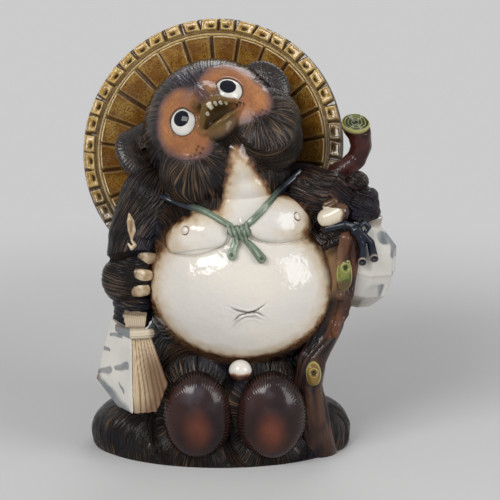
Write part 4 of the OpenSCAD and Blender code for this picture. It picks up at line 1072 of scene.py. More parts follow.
def front_spot(x, z, out):
    """A place a little out from whatever the front of the figure is made of at x and z."""
    start = Vector(place([x, -200, z]))
    reach = [tree.ray_cast(start, Vector((0, 1, 0)))[0] for tree in (shell_tree, white_tree)]
    return [x, min(drawn(s)[1] for s in reach if s is not None) - out, z]


def laid(route, out, step=3):
    """A route given by x and z, laid on the front and evened out."""
    route = np.array(route, float)
    steps = np.linspace(0, len(route) - 1,
                        max(6, int(np.linalg.norm(np.diff(route, axis=0), axis=1).sum() / step)))
    points = np.array([front_spot(np.interp(s, range(len(route)), route[:, 0]),
                                  np.interp(s, range(len(route)), route[:, 1]), out) for s in steps])
    for _ in range(6):
        points[1:-1] = 0.5 * points[1:-1] + 0.25 * (points[:-2] + points[2:])
    return points


def along_route(p, points):
    """How far along a route each point lies, the turn round it, and the gap to it, in mm."""
    best, along, turn, done = np.full(len(p), 1e4), np.zeros(len(p)), np.zeros(len(p)), 0.0
    for a, b in zip(points[:-1], points[1:]):
        a, b = np.array(a, float), np.array(b, float)
        long = np.linalg.norm(b - a)
        axis = (b - a) / long
        k = np.clip((p - a) @ axis, 0, long)
        off = p - a - k[:, None] * axis
        gap = np.linalg.norm(off, axis=1)
        side = np.cross(axis, (0, 1, 0))
        side /= np.linalg.norm(side)
        nearer = gap < best
        best, along = np.where(nearer, gap, best), np.where(nearer, done + k, along)
        turn = np.where(nearer, np.arctan2(off @ side, -(off @ np.cross(side, axis))), turn)
        done += long
    return along, turn, best


bm = bmesh.new()
left_cord, right_cord = laid(CORD_LEFT, 1.8), laid(CORD_RIGHT, 1.8)
for route in (left_cord, right_cord):
    set_limb(bm, route, [CORD_D] * len(route), 0.9)
knot_mid = front_spot(*KNOT_AT, 2.5)
for dx, dz, wide, tall in ((0, 0, 14, 13), (-5.5, 0.5, 12, 12), (5.5, -0.5, 12, 12)):
    set_ball(bm, np.array(knot_mid) + (dx, 0, dz), (wide, 10, tall), level=4)
end_left = laid([(-1, 216), (-3, 209), (-4.5, 204), (-5.5, 201)], 2.6)
end_right = laid([(4, 216), (11, 209), (17, 203), (21, 198)], 2.6)
for route in (end_left, end_right):
    set_limb(bm, route, np.linspace(6, 9.5, len(route)), 0.9)
mesh = melted("neck_cord", bm, 0.72, 3)
p, n = faced(mesh)
twist = np.zeros(len(p))
groove = np.zeros(len(p))
for route in (left_cord, right_cord, end_left, end_right):
    along, turn, gap = along_route(p, route)
    near = soft(7, 4, gap)
    twist = np.maximum(twist, near * (0.5 + 0.5 * np.cos(turn * 5 + along / 9)))
wrap = soft(15, 12, np.hypot(p[:, 0] - KNOT_AT[0], (p[:, 2] - KNOT_AT[1]) * 1.3))
turns = 0.5 + 0.5 * np.cos((p[:, 0] - KNOT_AT[0] + 0.35 * (p[:, 2] - KNOT_AT[1])) / 4.2 * 2 * np.pi)
rise = -0.35 * twist * (1 - wrap) - 1.1 * wrap * (1 - turns) ** 2
mouth = np.zeros(len(p))
for route, size in ((end_left, 3.0), (end_right, 2.6)):
    tip = np.array(route[-1]) + (0, -3.4, 0.4)
    gap = np.hypot((p[:, 0] - tip[0]) * 1.15, p[:, 2] - tip[2])
    front = soft(tip[1] + 4, tip[1] + 1.5, p[:, 1])
    mouth = np.maximum(mouth, soft(size, size * 0.6, gap) * front)
    rise += 0.6 * bell(gap - size * 1.25, 0.7) * front
rise -= 1.6 * mouth
lift(mesh, n, rise)
mark(mesh, "groove", np.clip(0.5 * twist * (1 - wrap) + wrap * (1 - turns) ** 2 + mouth, 0, 1))
mark(mesh, "far", np.maximum(soft(-26, -48, p[:, 0]), soft(24, 40, p[:, 0])))
glaze = Glaze("sage_glaze", 0.12)
# The paler sage, in random patches, is a painted highlight.
colour = glaze.mix((0.18, 0.235, 0.165), (0.40, 0.48, 0.37), glaze.span(glaze.noise(55.0), 0.45, 0.75))
colour = glaze.mix(colour, (0.05, 0.068, 0.045), glaze.times(glaze.marked("groove"), 0.9))
colour = glaze.mix(colour, (0.008, 0.013, 0.020), glaze.marked("far"))
glaze.colour(colour)
glaze.relief(glaze.noise(220.0, 1), 0.2)
mesh.materials.append(glaze.material)
neck_cord = piece("neck_cord", mesh)
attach(neck_cord, "root")
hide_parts("neck_cord_left", "neck_cord_right", "cord_knot", "cord_ends")


# Money bags and the knob between them. Two smooth domes of clay, nicked round the edge with the
# comb, under dark red-brown glaze, and one white ball dipped only at its top.
BAG_AT = [(-37, -64, 48), (30, -64, 48)]
BAG_SIZE = (64, 45.4, 84)
KNOB_AT = (2, 91)

bm = bmesh.new()
for at in BAG_AT:
    set_ball(bm, at, BAG_SIZE, level=7)
mesh = mesh_of("money_bags", bm)
p, n = faced(mesh)
at = np.where((p[:, 0] < -3.5)[:, None], np.array(BAG_AT[0]), np.array(BAG_AT[1]))
off = (p - at) / (np.array(BAG_SIZE) / 2)
share = np.hypot(off[:, 0], off[:, 2])
turn = np.arctan2(off[:, 0], off[:, 2])
nick = (np.cos(turn * 74 + 2.5 * lumps(p / 5, 51)) * soft(0.72, 0.84, share) * (off[:, 1] < 0.35)
        * soft(0.25, 0.6, lumps(p / 4, 52)))
lip = bell(share - 0.985, 0.012) * soft(0.3, -0.3, off[:, 2]) * (off[:, 1] < 0.35)
lift(mesh, n, 0.28 * nick + 0.5 * (lumps(p / 18, 53) - 0.5) + 0.4 * lip)
mark(mesh, "nick", np.clip(0.5 + 0.5 * nick, 0, 1) * soft(0.72, 0.84, share))
mark(mesh, "sheen", soft(0.1, 0.85, off[:, 2]) * soft(0.9, 0.5, share))
mark(mesh, "edge", soft(0.86, 1.0, share))
mark(mesh, "warm", soft(0.7, 0.05, np.hypot(off[:, 0] * 1.25, off[:, 2] + 0.22)))
shade_smooth(mesh)
glaze = Glaze("bag_glaze", 0.16)
glaze.shader.inputs["Specular IOR Level"].default_value = 0.3
mottle = glaze.group(glaze_mottle, Pools=22.0, Speckle=380.0)
colour = glaze.mix((0.014, 0.0065, 0.007), (0.036, 0.013, 0.011), mottle["Pool"])
colour = glaze.mix(colour, (0.15, 0.042, 0.024),
                   glaze.times(glaze.marked("warm"),
                               glaze.span(glaze.noise(45.0, 3), 0.3, 0.65, 0.45, 1.0)))
colour = glaze.mix(colour, (0.115, 0.105, 0.135),
                   glaze.times(glaze.marked("sheen"),
                               glaze.span(glaze.noise(60.0, 3), 0.4, 0.65, 0.05, 0.8)))
colour = glaze.mix(colour, (0.010, 0.006, 0.006), glaze.marked("edge"))
colour = glaze.mix(colour, (0.085, 0.046, 0.028),
                   glaze.times(glaze.span(glaze.marked("nick"), 0.6, 1.0), 0.6))
glaze.colour(colour)
glaze.relief(glaze.noise(60.0, 2), 0.3)
mesh.materials.append(glaze.material)
money_bags = piece("money_bags", mesh)
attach(money_bags, "root")
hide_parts("money_bag_left", "money_bag_right")

bm = bmesh.new()
knob_mid = np.array(front_spot(*KNOB_AT, 4.5))
set_ball(bm, knob_mid, (21, 20, 20.5), level=6)
mesh = mesh_of("white_knob", bm)
p = drawn(read(mesh))
mark(mesh, "dip", soft(2.0, -4.0, p[:, 2] - knob_mid[2] + 2.2 * (lumps(p / 4, 54) - 0.5)))
shade_smooth(mesh)
glaze = Glaze("knob_glaze", 0.08)
colour = glaze.mix((0.72, 0.68, 0.62), (0.25, 0.11, 0.045), glaze.span(glaze.marked("dip"), 0.0, 0.55))
glaze.colour(glaze.mix(colour, (0.045, 0.014, 0.010), glaze.span(glaze.marked("dip"), 0.45, 0.95)))
mesh.materials.append(glaze.material)
white_knob = piece("white_knob", mesh)
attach(white_knob, "root")
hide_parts("bag_knob")


# Tail. A thick roll of clay laid up the back and combed along its length.
TAIL = [(-10, 74, 22), (8, 82, 46), (28, 82, 78), (34, 74, 104)]
TAIL_D = [32, 46, 44, 23]
TAIL_BACK = 95.0


def furred(mesh, across, along, rough, seed, keep=1.0):
    """Comb strokes raised on a limb, and the marks that its glaze reads."""
    p, n = faced(mesh)
    tufts = strands(across, along, 3.4, 30, seed)
    fine = strands(across, along, COMB_PITCH, 22, seed + 1)
    height = rough * keep * (0.95 * tufts + 0.4 * fine + 1.0 * (lumps(p / 15, seed + 2) - 0.5) - 0.8)
    lift(mesh, n, np.broadcast_to(height, len(p)))
    mark(mesh, "stroke", np.stack([across, along, 0 * along], 1) * MM)
    mark(mesh, "ridge", tufts)
    mark(mesh, "halo", 0 * tufts)


bm = bmesh.new()
set_limb(bm, TAIL, TAIL_D, 3, 4)
mesh = melted("tail_roll", bm, 1.3, 10)
along, turn, gap = along_route(drawn(read(mesh)), TAIL)
furred(mesh, turn * 20, along, 1.0, 61)
p = drawn(read(mesh))
p[:, 1] = np.minimum(p[:, 1], TAIL_BACK - 0.4 + 0.4 * np.sin(p[:, 2] / 3))
p[:, 2] = np.maximum(p[:, 2], 0)
write(mesh, place(p))
tail_roll = piece("tail_roll", mesh)
mesh.materials.append(body_fur)
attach(tail_roll, "root")
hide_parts("tail")


# Arm on the ledger's side. A roll of clay that hangs from the shoulder to a swollen paw, combed
# down the sleeve and across the paw, with a crease between and folds below.
LEDGER_ARM = [(-82, -6, 240), (-97, -16, 206), (-101, -24, 178)]
LEDGER_ARM_D = [57, 47, 38]
PAW_AT = (-102, -34, 170)
PAW_SIZE = (48, 42, 50)

bm = bmesh.new()
set_limb(bm, LEDGER_ARM, LEDGER_ARM_D, 3, 4)
set_ball(bm, PAW_AT, PAW_SIZE)
set_ball(bm, (-97, -32, 146), (38, 36, 30), level=4)
set_ball(bm, (-98, -33, 134), (36, 34, 28), level=4)
mesh = melted("ledger_arm_clay", bm, 1.25, 8)
p, n = faced(mesh)
crease = 192 + 0.12 * (p[:, 0] + 100) + 2.5 * np.sin(p[:, 0] / 9)
sleeve = soft(crease - 2, crease + 3, p[:, 2])
folds = soft(153, 147, p[:, 2] + 0.2 * (p[:, 0] + 100))
rise = 1.6 * sleeve * soft(16, 2, p[:, 2] - crease) - 1.9 * bell(p[:, 2] - crease + 1.5, 1.5)
rise += folds * 1.9 * (np.abs(np.cos((p[:, 2] + 0.25 * p[:, 0] + 4 * lumps(p / 16, 71)) / 7.0
                                     * np.pi)) ** 0.6 - 0.7)
lift(mesh, n, rise)
along, turn, gap = along_route(p, LEDGER_ARM)
lean = turn * 24 + 0.25 * along
across = sleeve * lean + (1 - sleeve) * (p[:, 2] + 0.18 * p[:, 0] + 300)
run = sleeve * along + (1 - sleeve) * (turn * 24)
smooth_paw = (1 - sleeve) * soft(-112, -100, p[:, 0]) * (1 - folds)
furred(mesh, across, run, 0.8, 72, 1 - 0.55 * folds - 0.8 * smooth_paw)
mesh.materials.append(fur_glaze("arm_fur", FUR_BLACK, (0.12, 0.078, 0.052), (0.013, 0.018, 0.040)))
ledger_arm_clay = piece("ledger_arm_clay", mesh)
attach(ledger_arm_clay, "root")
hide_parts("ledger_arm", "ledger_paw")
arm_tree = BVHTree.FromPolygons([v.co for v in mesh.vertices], [tuple(f.vertices) for f in mesh.polygons])


# Claws and sleeve slit. Three flat cream claws pressed over the side of the paw, and an almond
# slit with a small curl under it where the sleeve opens.
CLAWS = [((-89, 190), (-78, 188), 13.5), ((-92.5, 177), (-81.5, 175), 13.5), ((-95, 164), (-84, 162), 14)]
SLIT = [(-99.5, 231), (-98, 224), (-96.8, 216), (-97.2, 208)]
SLIT_D = [1.6, 7.2, 7.6, 2.0]
CURL = [(-97, 207), (-94, 203), (-97, 200), (-100, 204)]


def on_arm(x, z, out):
    spot = arm_tree.ray_cast(Vector(place([x, -200, z])), Vector((0, 1, 0)))[0]
    return np.array(front_spot(x, z, out)) if spot is None else drawn(spot) - (0, out, 0)


bm = bmesh.new()
for (x0, z0), (x1, z1), thick in CLAWS:
    root, tip = on_arm(x0, z0, -2.5), on_arm(x1, z1, -1.0)
    tip[1] = min(tip[1], root[1] + 7)
    for k in np.linspace(0, 1, 9):
        spot = root * (1 - k) + tip * k + (0, -1.4 * math.sin(k * 3.1), 0)
        set_ball(bm, spot, (7.5, 6.5 - 1.5 * k, thick * (1 - 0.22 * k ** 2)), level=4)
slit = np.array([on_arm(x, z, 0.4) for x, z in SLIT])
for (a, b, s, t) in zip(slit[:-1], slit[1:], SLIT_D[:-1], SLIT_D[1:]):
    for k in np.linspace(0, 1, 8):
        wide = s + (t - s) * k
        set_ball(bm, a + (b - a) * k, (wide, min(wide, 4.5), wide), level=3)
set_limb(bm, [on_arm(x, z, 0.2) for x, z in CURL], [2.4, 3.6, 3.8, 2.2], 0.6)
mesh = melted("cream_claws", bm, 0.6, 3)
p, n = faced(mesh)
high = p[:, 2] > 198.5
ridge = np.hypot(p[:, 0] + 97.4, (p[:, 2] - 219.5) * 0.3)
dent = np.where(high, soft(2.6, 0.6, ridge), 0)
lines = np.where(high, 0, np.cos((p[:, 0] + 0.3 * p[:, 2]) / 3.4 * 2 * np.pi) * soft(-86, -94, p[:, 0]))
lift(mesh, n, -1.0 * dent + 0.12 * lines)
back = np.zeros(len(p))
for (x0, z0), (x1, z1), thick in CLAWS:
    back = np.maximum(back, soft(4.5, -2.5, p[:, 0] - x0) * (np.abs(p[:, 2] - z0) < 7.6))
    back = np.maximum(back, soft(0.42, 0.52,
                                 np.abs(p[:, 2] - z0 - (z1 - z0) * (p[:, 0] - x0) / (x1 - x0)) / thick)
                                 * (np.abs(p[:, 2] - z0) < 7.2))
mark(mesh, "brown", np.clip(np.maximum(back, 0.75 * dent) * (0.6 + 0.6 * lumps(p / 2, 74)), 0, 1))
glaze = Glaze("claw_glaze", 0.12)
colour = glaze.mix((0.55, 0.44, 0.30), (0.36, 0.25, 0.14), glaze.span(glaze.noise(150.0), 0.4, 0.7))
colour = glaze.mix(colour, (0.10, 0.05, 0.025), glaze.marked("brown"))
glaze.colour(colour)
glaze.relief(glaze.noise(300.0, 1), 0.2)
mesh.materials.append(glaze.material)
cream_claws = piece("cream_claws", mesh)
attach(cream_claws, "root")
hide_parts("ledger_claws", "sleeve_slit")


# Ledger. A folded account book pressed from a slab: a pale bare cover on one side and a fan of page
# edges on the other, held at the top by a strap with the bundle standing out above it.
BOOK_FOOT = np.array([-95, -79, 54])
EDGE = [(0, 0, 0), (-1, 8, 70)]
BOOK_BACK = [(12, 54, 25), (6, 44, 68)]
PAGES = [(21, 3, 1), (31, 12, 25), (16, 14, 70)]
COVER = [(-15, 10, 4), (-36, 28, 25), (-22, 34, 82)]
PAGE_RIBS = 7.5
BRUSHED = [(0.18, 0.48, 0.50, 0.53, 0.05), (0.62, 0.56, 0.94, 0.61, 0.045), (0.90, 0.33, 0.66, 0.36, 0.04),
           (0.30, 0.14, 0.64, 0.19, 0.035), (0.26, 0.76, 0.38, 0.68, 0.035)]


def set_hull(bm, points):
    made = [bm.verts.new(place(p)) for p in points]
    done = bmesh.ops.convex_hull(bm, input=made)
    bmesh.ops.delete(bm, geom=[v for v in done["geom_interior"] if isinstance(v, bmesh.types.BMVert)],
                     context="VERTS")


bm = bmesh.new()
set_hull(bm, BOOK_FOOT + np.array(EDGE + PAGES + BOOK_BACK))
mesh = melted("page_fan", bm, 0.72, 5)
p, n = faced(mesh)
q = p - BOOK_FOOT
drop = np.clip(70 - q[:, 2], 0, 80)
left, right = -1 + drop / 70, 16 + drop * 15 / 45
fan = (q[:, 0] - left) / (right - left)
front = soft(0.0, -0.35, n[:, 1])
low = drop / 70
rib = 0.5 + 0.5 * np.cos((fan * PAGE_RIBS + 0.35 * lumps(np.stack([fan * 9, low * 3, 0 * low], 1), 81))
                         * 2 * np.pi)
leaf = 0.5 + 0.5 * np.cos(fan * PAGE_RIBS * 4 * 2 * np.pi)
rise = front * ((rib ** 0.45 - 0.7) * (0.8 + 1.1 * low) + 0.08 * leaf)
lift(mesh, n, rise)
mark(mesh, "rib", np.maximum(front * rib ** 0.4, soft(0.16, 0.04, fan)) + (1 - front) * 0.4)
mark(mesh, "leaf", leaf)
mark(mesh, "brown", np.clip(soft(0.1, 0.65, fan) * soft(0.0, 0.45, low) + 0.6 * soft(0.75, 1.0, low)
                            + (1 - front) * 0.8, 0, 1))
glaze = Glaze("paper_glaze", 0.16)
colour = glaze.mix((0.62, 0.50, 0.34), (0.50, 0.36, 0.21), glaze.marked("leaf"))
colour = glaze.mix((0.17, 0.085, 0.040), colour, glaze.span(glaze.marked("rib"), 0.15, 0.6))
colour = glaze.mix(colour, (0.13, 0.060, 0.025), glaze.span(glaze.marked("brown"), 0.0, 1.0, 0.0, 0.85))
glaze.colour(colour)
glaze.relief(glaze.noise(260.0, 2), 0.3)
mesh.materials.append(glaze.material)
page_fan = piece("page_fan", mesh)
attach(page_fan, "root")
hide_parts("ledger_pages")

bm = bmesh.new()
set_hull(bm, BOOK_FOOT + np.array(EDGE + COVER + BOOK_BACK) + (-0.6, 0, 0))
mesh = melted("book_cover", bm, 0.8, 7)
p, n = faced(mesh)
q = p - BOOK_FOOT
out, down = -q[:, 0] / 36, (82 - q[:, 2]) / 82
spine = bell(q[:, 0] + 3, 3.0) * soft(0, 12, q[:, 2])
lift(mesh, n, 0.5 * spine + 0.5 * (lumps(p / 16, 82) - 0.5))
wander = 0.09 * (lumps(p / 9, 83) - 0.5)
wash = 0.9 * soft(0.02, 0.10, down - 1.0 + 0.42 * out + 0.05 + wander) * soft(0.02, 0.12, out)
dry = 0.75 + 0.5 * lumps(p / (5, 5, 1.6), 86)
for u0, v0, u1, v1, wide in BRUSHED:
    run, over = np.array([u1 - u0, v1 - v0]), np.stack([out - u0 + wander, down - v0 + 0.5 * wander], 1)
    k = np.clip(over @ run / (run @ run), 0, 1)
    reach = np.hypot(*(over - k[:, None] * run).T) / (wide * (1 - 0.55 * k))
    wash = np.maximum(wash, 0.85 * soft(1.2, 0.75, reach * dry))
mark(mesh, "wash", wash * soft(0.1, -0.2, n[:, 1]))
mark(mesh, "brown", np.maximum(soft(0.86, 1.0, out), soft(0.2, 0.7, n[:, 1])))
glaze = Glaze("pale_glaze", 0.10)
colour = glaze.mix((0.66, 0.635, 0.58), (0.56, 0.54, 0.50), glaze.span(glaze.noise(30.0), 0.35, 0.7))
colour = glaze.mix(colour, (0.125, 0.145, 0.165),
                   glaze.times(glaze.marked("wash"), glaze.span(glaze.noise(90.0), 0.3, 0.6, 0.75, 1.0)))
colour = glaze.mix(colour, (0.20, 0.115, 0.06), glaze.times(glaze.marked("brown"), 0.85))
glaze.colour(colour)
glaze.relief(glaze.noise(120.0, 1), 0.3)
pale_glaze = glaze.material
mesh.materials.append(pale_glaze)
book_cover = piece("book_cover", mesh)
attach(book_cover, "root")
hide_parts("ledger_cover")

bm = bmesh.new()
STRAP = [(-15, 22, 75.5), (-8, 13, 74.5), (-1, 6.5, 73.5), (8, 8, 73.5), (17, 11, 73.5)]
for a, b in zip(STRAP[:-1], STRAP[1:]):
    for k in np.linspace(0, 1, 9):
        set_ball(bm, BOOK_FOOT + np.array(a) * (1 - k) + np.array(b) * k, (5, 5.5, 8.5), level=3)
set_hull(bm, BOOK_FOOT + np.array([(x, y, z)
                                   for x, z in ((-6, 75), (10, 75), (11.5, 88.5), (-9, 90))
                                   for y in (11 + 0.1 * z - 7, 27 + 0.1 * z - 7)]))
mesh = melted("strap_and_bundle", bm, 0.65, 3)
p, n = faced(mesh)
q = p - BOOK_FOOT
bundle = soft(78, 79.5, q[:, 2])
straw = np.cos((q[:, 0] - 0.12 * (q[:, 2] - 76)) / 1.7 * 2 * np.pi + 2 * lumps(q / 7, 84))
top = soft(86, 89, q[:, 2])
lift(mesh, n, bundle * (0.28 * straw + 0.8 * (lumps(q / 4, 85) - 0.5) * top)
     + (1 - bundle) * 0.25 * np.cos(q[:, 2] / 2.6 * 2 * np.pi))
mark(mesh, "groove", bundle * (0.5 - 0.5 * straw))
mark(mesh, "blue", (1 - bundle) * soft(-1.5, -3.5, q[:, 0]))
mark(mesh, "brown", np.clip((1 - bundle) * soft(13, 18, q[:, 0]) + bell(q[:, 2] - 78.6, 1.2)
                            + soft(86, 90, q[:, 2]) * 0.7, 0, 1))
glaze = Glaze("strap_glaze", 0.14)
colour = glaze.mix((0.60, 0.52, 0.39), (0.30, 0.19, 0.10), glaze.times(glaze.marked("groove"), 0.75))
colour = glaze.mix(colour, (0.16, 0.19, 0.21), glaze.times(glaze.marked("blue"), 0.9))
colour = glaze.mix(colour, (0.11, 0.055, 0.03), glaze.times(glaze.marked("brown"), 0.7))
glaze.colour(colour)
glaze.relief(glaze.noise(300.0, 1), 0.2)
mesh.materials.append(glaze.material)
strap_and_bundle = piece("strap_and_bundle", mesh)
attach(strap_and_bundle, "root")
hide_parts("ledger_band", "ledger_top")


# Arm on the flask's side. A short roll of clay bent over the top of the stump to a fist, furry at
# the shoulder and wiped smooth where the fingers close.
FLASK_ARM = [(62, -8, 244), (86, -20, 246), (102, -24, 240)]
FLASK_ARM_D = [51, 44, 37]
KNUCKLES = [((108.1, -31, 260), 22), ((118.6, -33, 247), 18.5), ((121.5, -33, 232), 17),
            ((108, -40, 243), 15), ((106, -42, 231), 14)]
GRIPPED = [([(78.6, -47, 219), (95.6, -50, 224)], [9.5, 9.5]),
           ([(77, -46, 211), (96.7, -49, 218)], [6, 6.5]),
           ([(78.9, -46, 202.5), (91, -49, 209.5)], [7, 7])]

bm = bmesh.new()
set_limb(bm, FLASK_ARM, FLASK_ARM_D, 3, 4)
set_ball(bm, (113, -28, 238), (33, 34, 34), level=4)
for at, size in KNUCKLES:
    set_ball(bm, at, (size, size, size * 0.9), level=4)
for points, sizes in GRIPPED:
    set_limb(bm, points, sizes, 1.5, 3)
mesh = melted("flask_arm_clay", bm, 1.05, 5)
p, n = faced(mesh)
along, turn, gap = along_route(p, FLASK_ARM)
wiped = np.maximum(soft(86, 104, p[:, 0]), soft(228, 222, p[:, 2]))
furred(mesh, turn * 22 + 0.3 * along, along, 1.0, 91, 1 - 0.85 * wiped)
p, n = faced(mesh)
swirl = np.cos((gap + 9 * lumps(p / 13, 94) + 0.5 * p[:, 2]) / 4.5 * 2 * np.pi) * wiped
lift(mesh, n, 0.25 * swirl)
mesh.materials.append(fur_glaze("fist_fur", (0.010, 0.006, 0.006), (0.105, 0.055, 0.035),
                                (0.012, 0.015, 0.034)))
flask_arm_clay = piece("flask_arm_clay", mesh)
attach(flask_arm_clay, "root")
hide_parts("flask_arm", "fist")


# Toggles. Two cream pegs tied over the fist, glossy, with brown glaze pooled at their right ends
# and along the underside of the lower one.
TOGGLE = [(80, -48, 229.7), (92.5, -49, 235.5)]
SMALL_TOGGLE = [(79.5, -45, 241), (87, -45, 244.5)]
bm = bmesh.new()
set_limb(bm, TOGGLE, [17, 17], 1.2, 5)
set_limb(bm, SMALL_TOGGLE, [7.5, 7], 1.0, 4)
mesh = melted("cream_toggles", bm, 0.8, 4)
p, n = faced(mesh)
lift(mesh, n, 0.6 * (lumps(p / 8, 95) - 0.5))
mark(mesh, "brown", np.maximum(soft(91, 98, p[:, 0] + 2.5 * lumps(p / 4, 96)),
                               soft(227, 221.5, p[:, 2] + 2 * lumps(p / 4, 97))) * (p[:, 2] < 240)
     + 0.8 * (p[:, 2] >= 240))
glaze = Glaze("toggle_glaze", 0.07)
colour = glaze.mix((0.70, 0.62, 0.48), (0.16, 0.075, 0.03), glaze.span(glaze.marked("brown"), 0.1, 0.7))
glaze.colour(glaze.mix(colour, (0.03, 0.014, 0.01), glaze.span(glaze.marked("brown"), 0.6, 1.0)))
mesh.materials.append(glaze.material)
cream_toggles = piece("cream_toggles", mesh)
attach(cream_toggles, "root")
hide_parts("cord_toggles")


# Flask. A thrown bottle cut to nine flats and three rows, hung behind the stump, pale glaze with
# plain grey-blue washes.
FLASK_AT = (113.5, -12, 180)
FLASK_TURN = (8, 12, 0)
FLASK_D, FLASK_H, FLATS = 68, 74, 9
profile = even([(0.5, -FLASK_H / 2)]
               + [(FLASK_D / 2 * r, FLASK_H * h)
                  for h, r in ((-0.5, 0.60), (-0.3, 0.94), (0, 1.0), (0.3, 0.86), (0.48, 0.44))]
               + [(10.5, FLASK_H / 2 + 2), (10, FLASK_H / 2 + 11), (0.5, FLASK_H / 2 + 12)], 1.1)
mesh = spun("pale_flask", profile, FLATS, 22)
q = read(mesh)
angle = np.arctan2(q[:, 1], q[:, 0]) / (2 * np.pi) * FLATS + 0.35
number, part = np.round(angle), (angle - np.round(angle)) * 2 * np.pi / FLATS
flat = math.cos(math.pi / FLATS) / np.cos(np.clip(np.abs(part), 0, math.pi / FLATS - 0.03))
body = soft(FLASK_H * 0.55, FLASK_H * 0.4, q[:, 2])
q[:, :2] *= (1 + body * (flat * 1.025 - 1))[:, None]
row = bell(q[:, 2], 1.1) + bell(q[:, 2] + FLASK_H * 0.3, 1.1)
q[:, :2] *= (1 - 0.006 * row + 0.004 * (lumps(q / 9, 98) - 0.5))[:, None]
turn = np.array(turned(FLASK_TURN))
seen = q @ turn.T + np.array(FLASK_AT)
write(mesh, place(seen))
patch = lumps(q / (13, 13, 10), 99)
mark(mesh, "wash", np.maximum(soft(0.54, 0.60, patch) * soft(122, 134, seen[:, 0]),
                              0.3 * soft(-2, -6, q[:, 2]) * soft(0.35, 0.6, lumps(q / 16, 100))))
mark(mesh, "brown", np.clip(0.6 * soft(-20, -32, q[:, 2]) * soft(140, 100, seen[:, 0])
                            + 0.7 * soft(38, 44, q[:, 2]) + 0.35 * row * (q[:, 2] < 5), 0, 1))
mesh.materials.append(pale_glaze)
pale_flask = piece("pale_flask", mesh)
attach(pale_flask, "root")
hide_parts("flask")


# Flask cord. Thin rolls of clay that bind the toggles to the flask's neck, knotted below the fist,
# with two ends that hang open like cups, all in blue-black gloss.
FLASK_CORDS = [([(80, -50, 220), (96, -52.5, 225), (105, -50, 222)], [7, 7.5, 7]),
               ([(104, -50, 223), (108, -52, 219), (109, -53, 212)], [7, 7, 6]),
               ([(107, -52, 221), (110, -53, 213), (112.7, -52, 204), (112.5, -51, 190.8)],
                [7, 6, 7.5, 8.5]),
               ([(107, -52, 219), (114, -50, 214), (120, -48, 207), (123.6, -47, 193)], [7, 6, 7.5, 8.5]),
               ([(109, -50, 222), (114, -47, 225.5), (118.5, -46, 221), (114.5, -47, 215)],
                [5, 4.5, 4.5, 4.5])]
bm = bmesh.new()
for points, sizes in FLASK_CORDS:
    set_limb(bm, points, sizes, 0.9, 3)
set_ball(bm, (107, -52, 219), (12, 10, 11), level=4)
mesh = melted("flask_cords", bm, 0.65, 3)
p, n = faced(mesh)
rise, lip = np.zeros(len(p)), np.zeros(len(p))
for points, _ in FLASK_CORDS[2:4]:
    gap = np.hypot(p[:, 0] - points[-1][0], p[:, 2] - points[-1][2] + 0.5)
    facing = soft(0.1, -0.5, n[:, 1])
    rise += facing * (0.8 * bell(gap - 3.1, 0.8) - 1.5 * soft(2.6, 1.0, gap))
    lip = np.maximum(lip, facing * bell(gap - 3.6, 0.6))
for points, _ in FLASK_CORDS[:4]:
    along, turn, gap = along_route(p, points)
    rise += -0.3 * (0.5 + 0.5 * np.cos(turn * 4 + along / 5)) * soft(7, 4, gap)
lift(mesh, n, rise)
mark(mesh, "lip", lip)
glaze = Glaze("dark_cord_glaze", 0.09)
glaze.shader.inputs["Specular IOR Level"].default_value = 0.3
colour = glaze.mix((0.008, 0.011, 0.020), (0.030, 0.034, 0.048), glaze.span(glaze.noise(90.0), 0.45, 0.8))
glaze.colour(glaze.mix(colour, (0.50, 0.40, 0.30), glaze.times(glaze.marked("lip"), 0.7)))
mesh.materials.append(glaze.material)
flask_cords = piece("flask_cords", mesh)
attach(flask_cords, "root")
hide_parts("flask_cord")


# Tree stump. A crooked roll of clay beside the belly, scored like bark, with loose strands down its
# upper part, a spreading root and a branch cut off by the hat.
TRUNK = [(94, -14, 238), (92, -26, 206), (93, -32, 168), (84, -36, 128), (68, -42, 96), (64, -44, 70),
         (70, -38, 32), (74, -28, 2)]
TRUNK_D = [27, 27, 27, 27, 27, 28, 34, 40]
STRANDS = [[(96.5, -49, 212), (95.2, -51, 196), (94, -52, 180), (96, -51, 154), (88, -54, 122)],
           [(105, -43, 212), (104.7, -45, 192), (103, -46, 166), (96, -50, 136)]]
BRANCH = [(88, 0, 252), (92, -4, 264), (101, -4, 269), (109.5, -2, 276), (113.5, -1, 288),
          (111.5, -2, 300), (107.9, -3, 307)]
BRANCH_D = [26, 19, 18.5, 19, 20, 23, 25]
CUT_AT, CUT_TURN = (107.9, -3, 308.5), (30, 0, 8)
bm = bmesh.new()
set_limb(bm, TRUNK, TRUNK_D, 3, 4)
for points in STRANDS:
    set_limb(bm, points, [13, 12, 10, 8, 6][:len(points)], 1.5, 3)
set_limb(bm, BRANCH, BRANCH_D, 2.5, 4)
set_ball(bm, (94.2, -53, 158.4), (12, 10, 11), level=4)
mesh = melted("stump_clay", bm, 1.1, 5)
p, n = faced(mesh)
along, turn, gap = along_route(p, TRUNK)
on_branch = soft(244, 252, p[:, 2])
bark = strands(turn * 13 + 0.06 * along, along, 5.5, 34, 101)
knob = lumps(p / 11, 102)
strand = np.zeros(len(p))
for points in STRANDS:
    strand = np.maximum(strand, soft(9, 6, along_route(p, points)[2]))
rise = (strand * 1.6 * (lumps(p / 4.5, 105) - 0.5)
        + (1 - on_branch) * (1.7 * bark + 1.6 * (knob - 0.5) - 1.1)
        + on_branch * (1.0 * (lumps(p / 9, 103) - 0.5) + 0.5 * lumps(p / 4, 104) - 0.4))
lift(mesh, n, rise * soft(0, 5, p[:, 2]))
p = drawn(read(mesh))
p[:, 2] = np.maximum(p[:, 2], 0)
cut_face = np.array(turned(CUT_TURN))[:, 2]
beyond = ((p - np.array(CUT_AT)) @ cut_face + 1.5) * (p[:, 2] > 270)
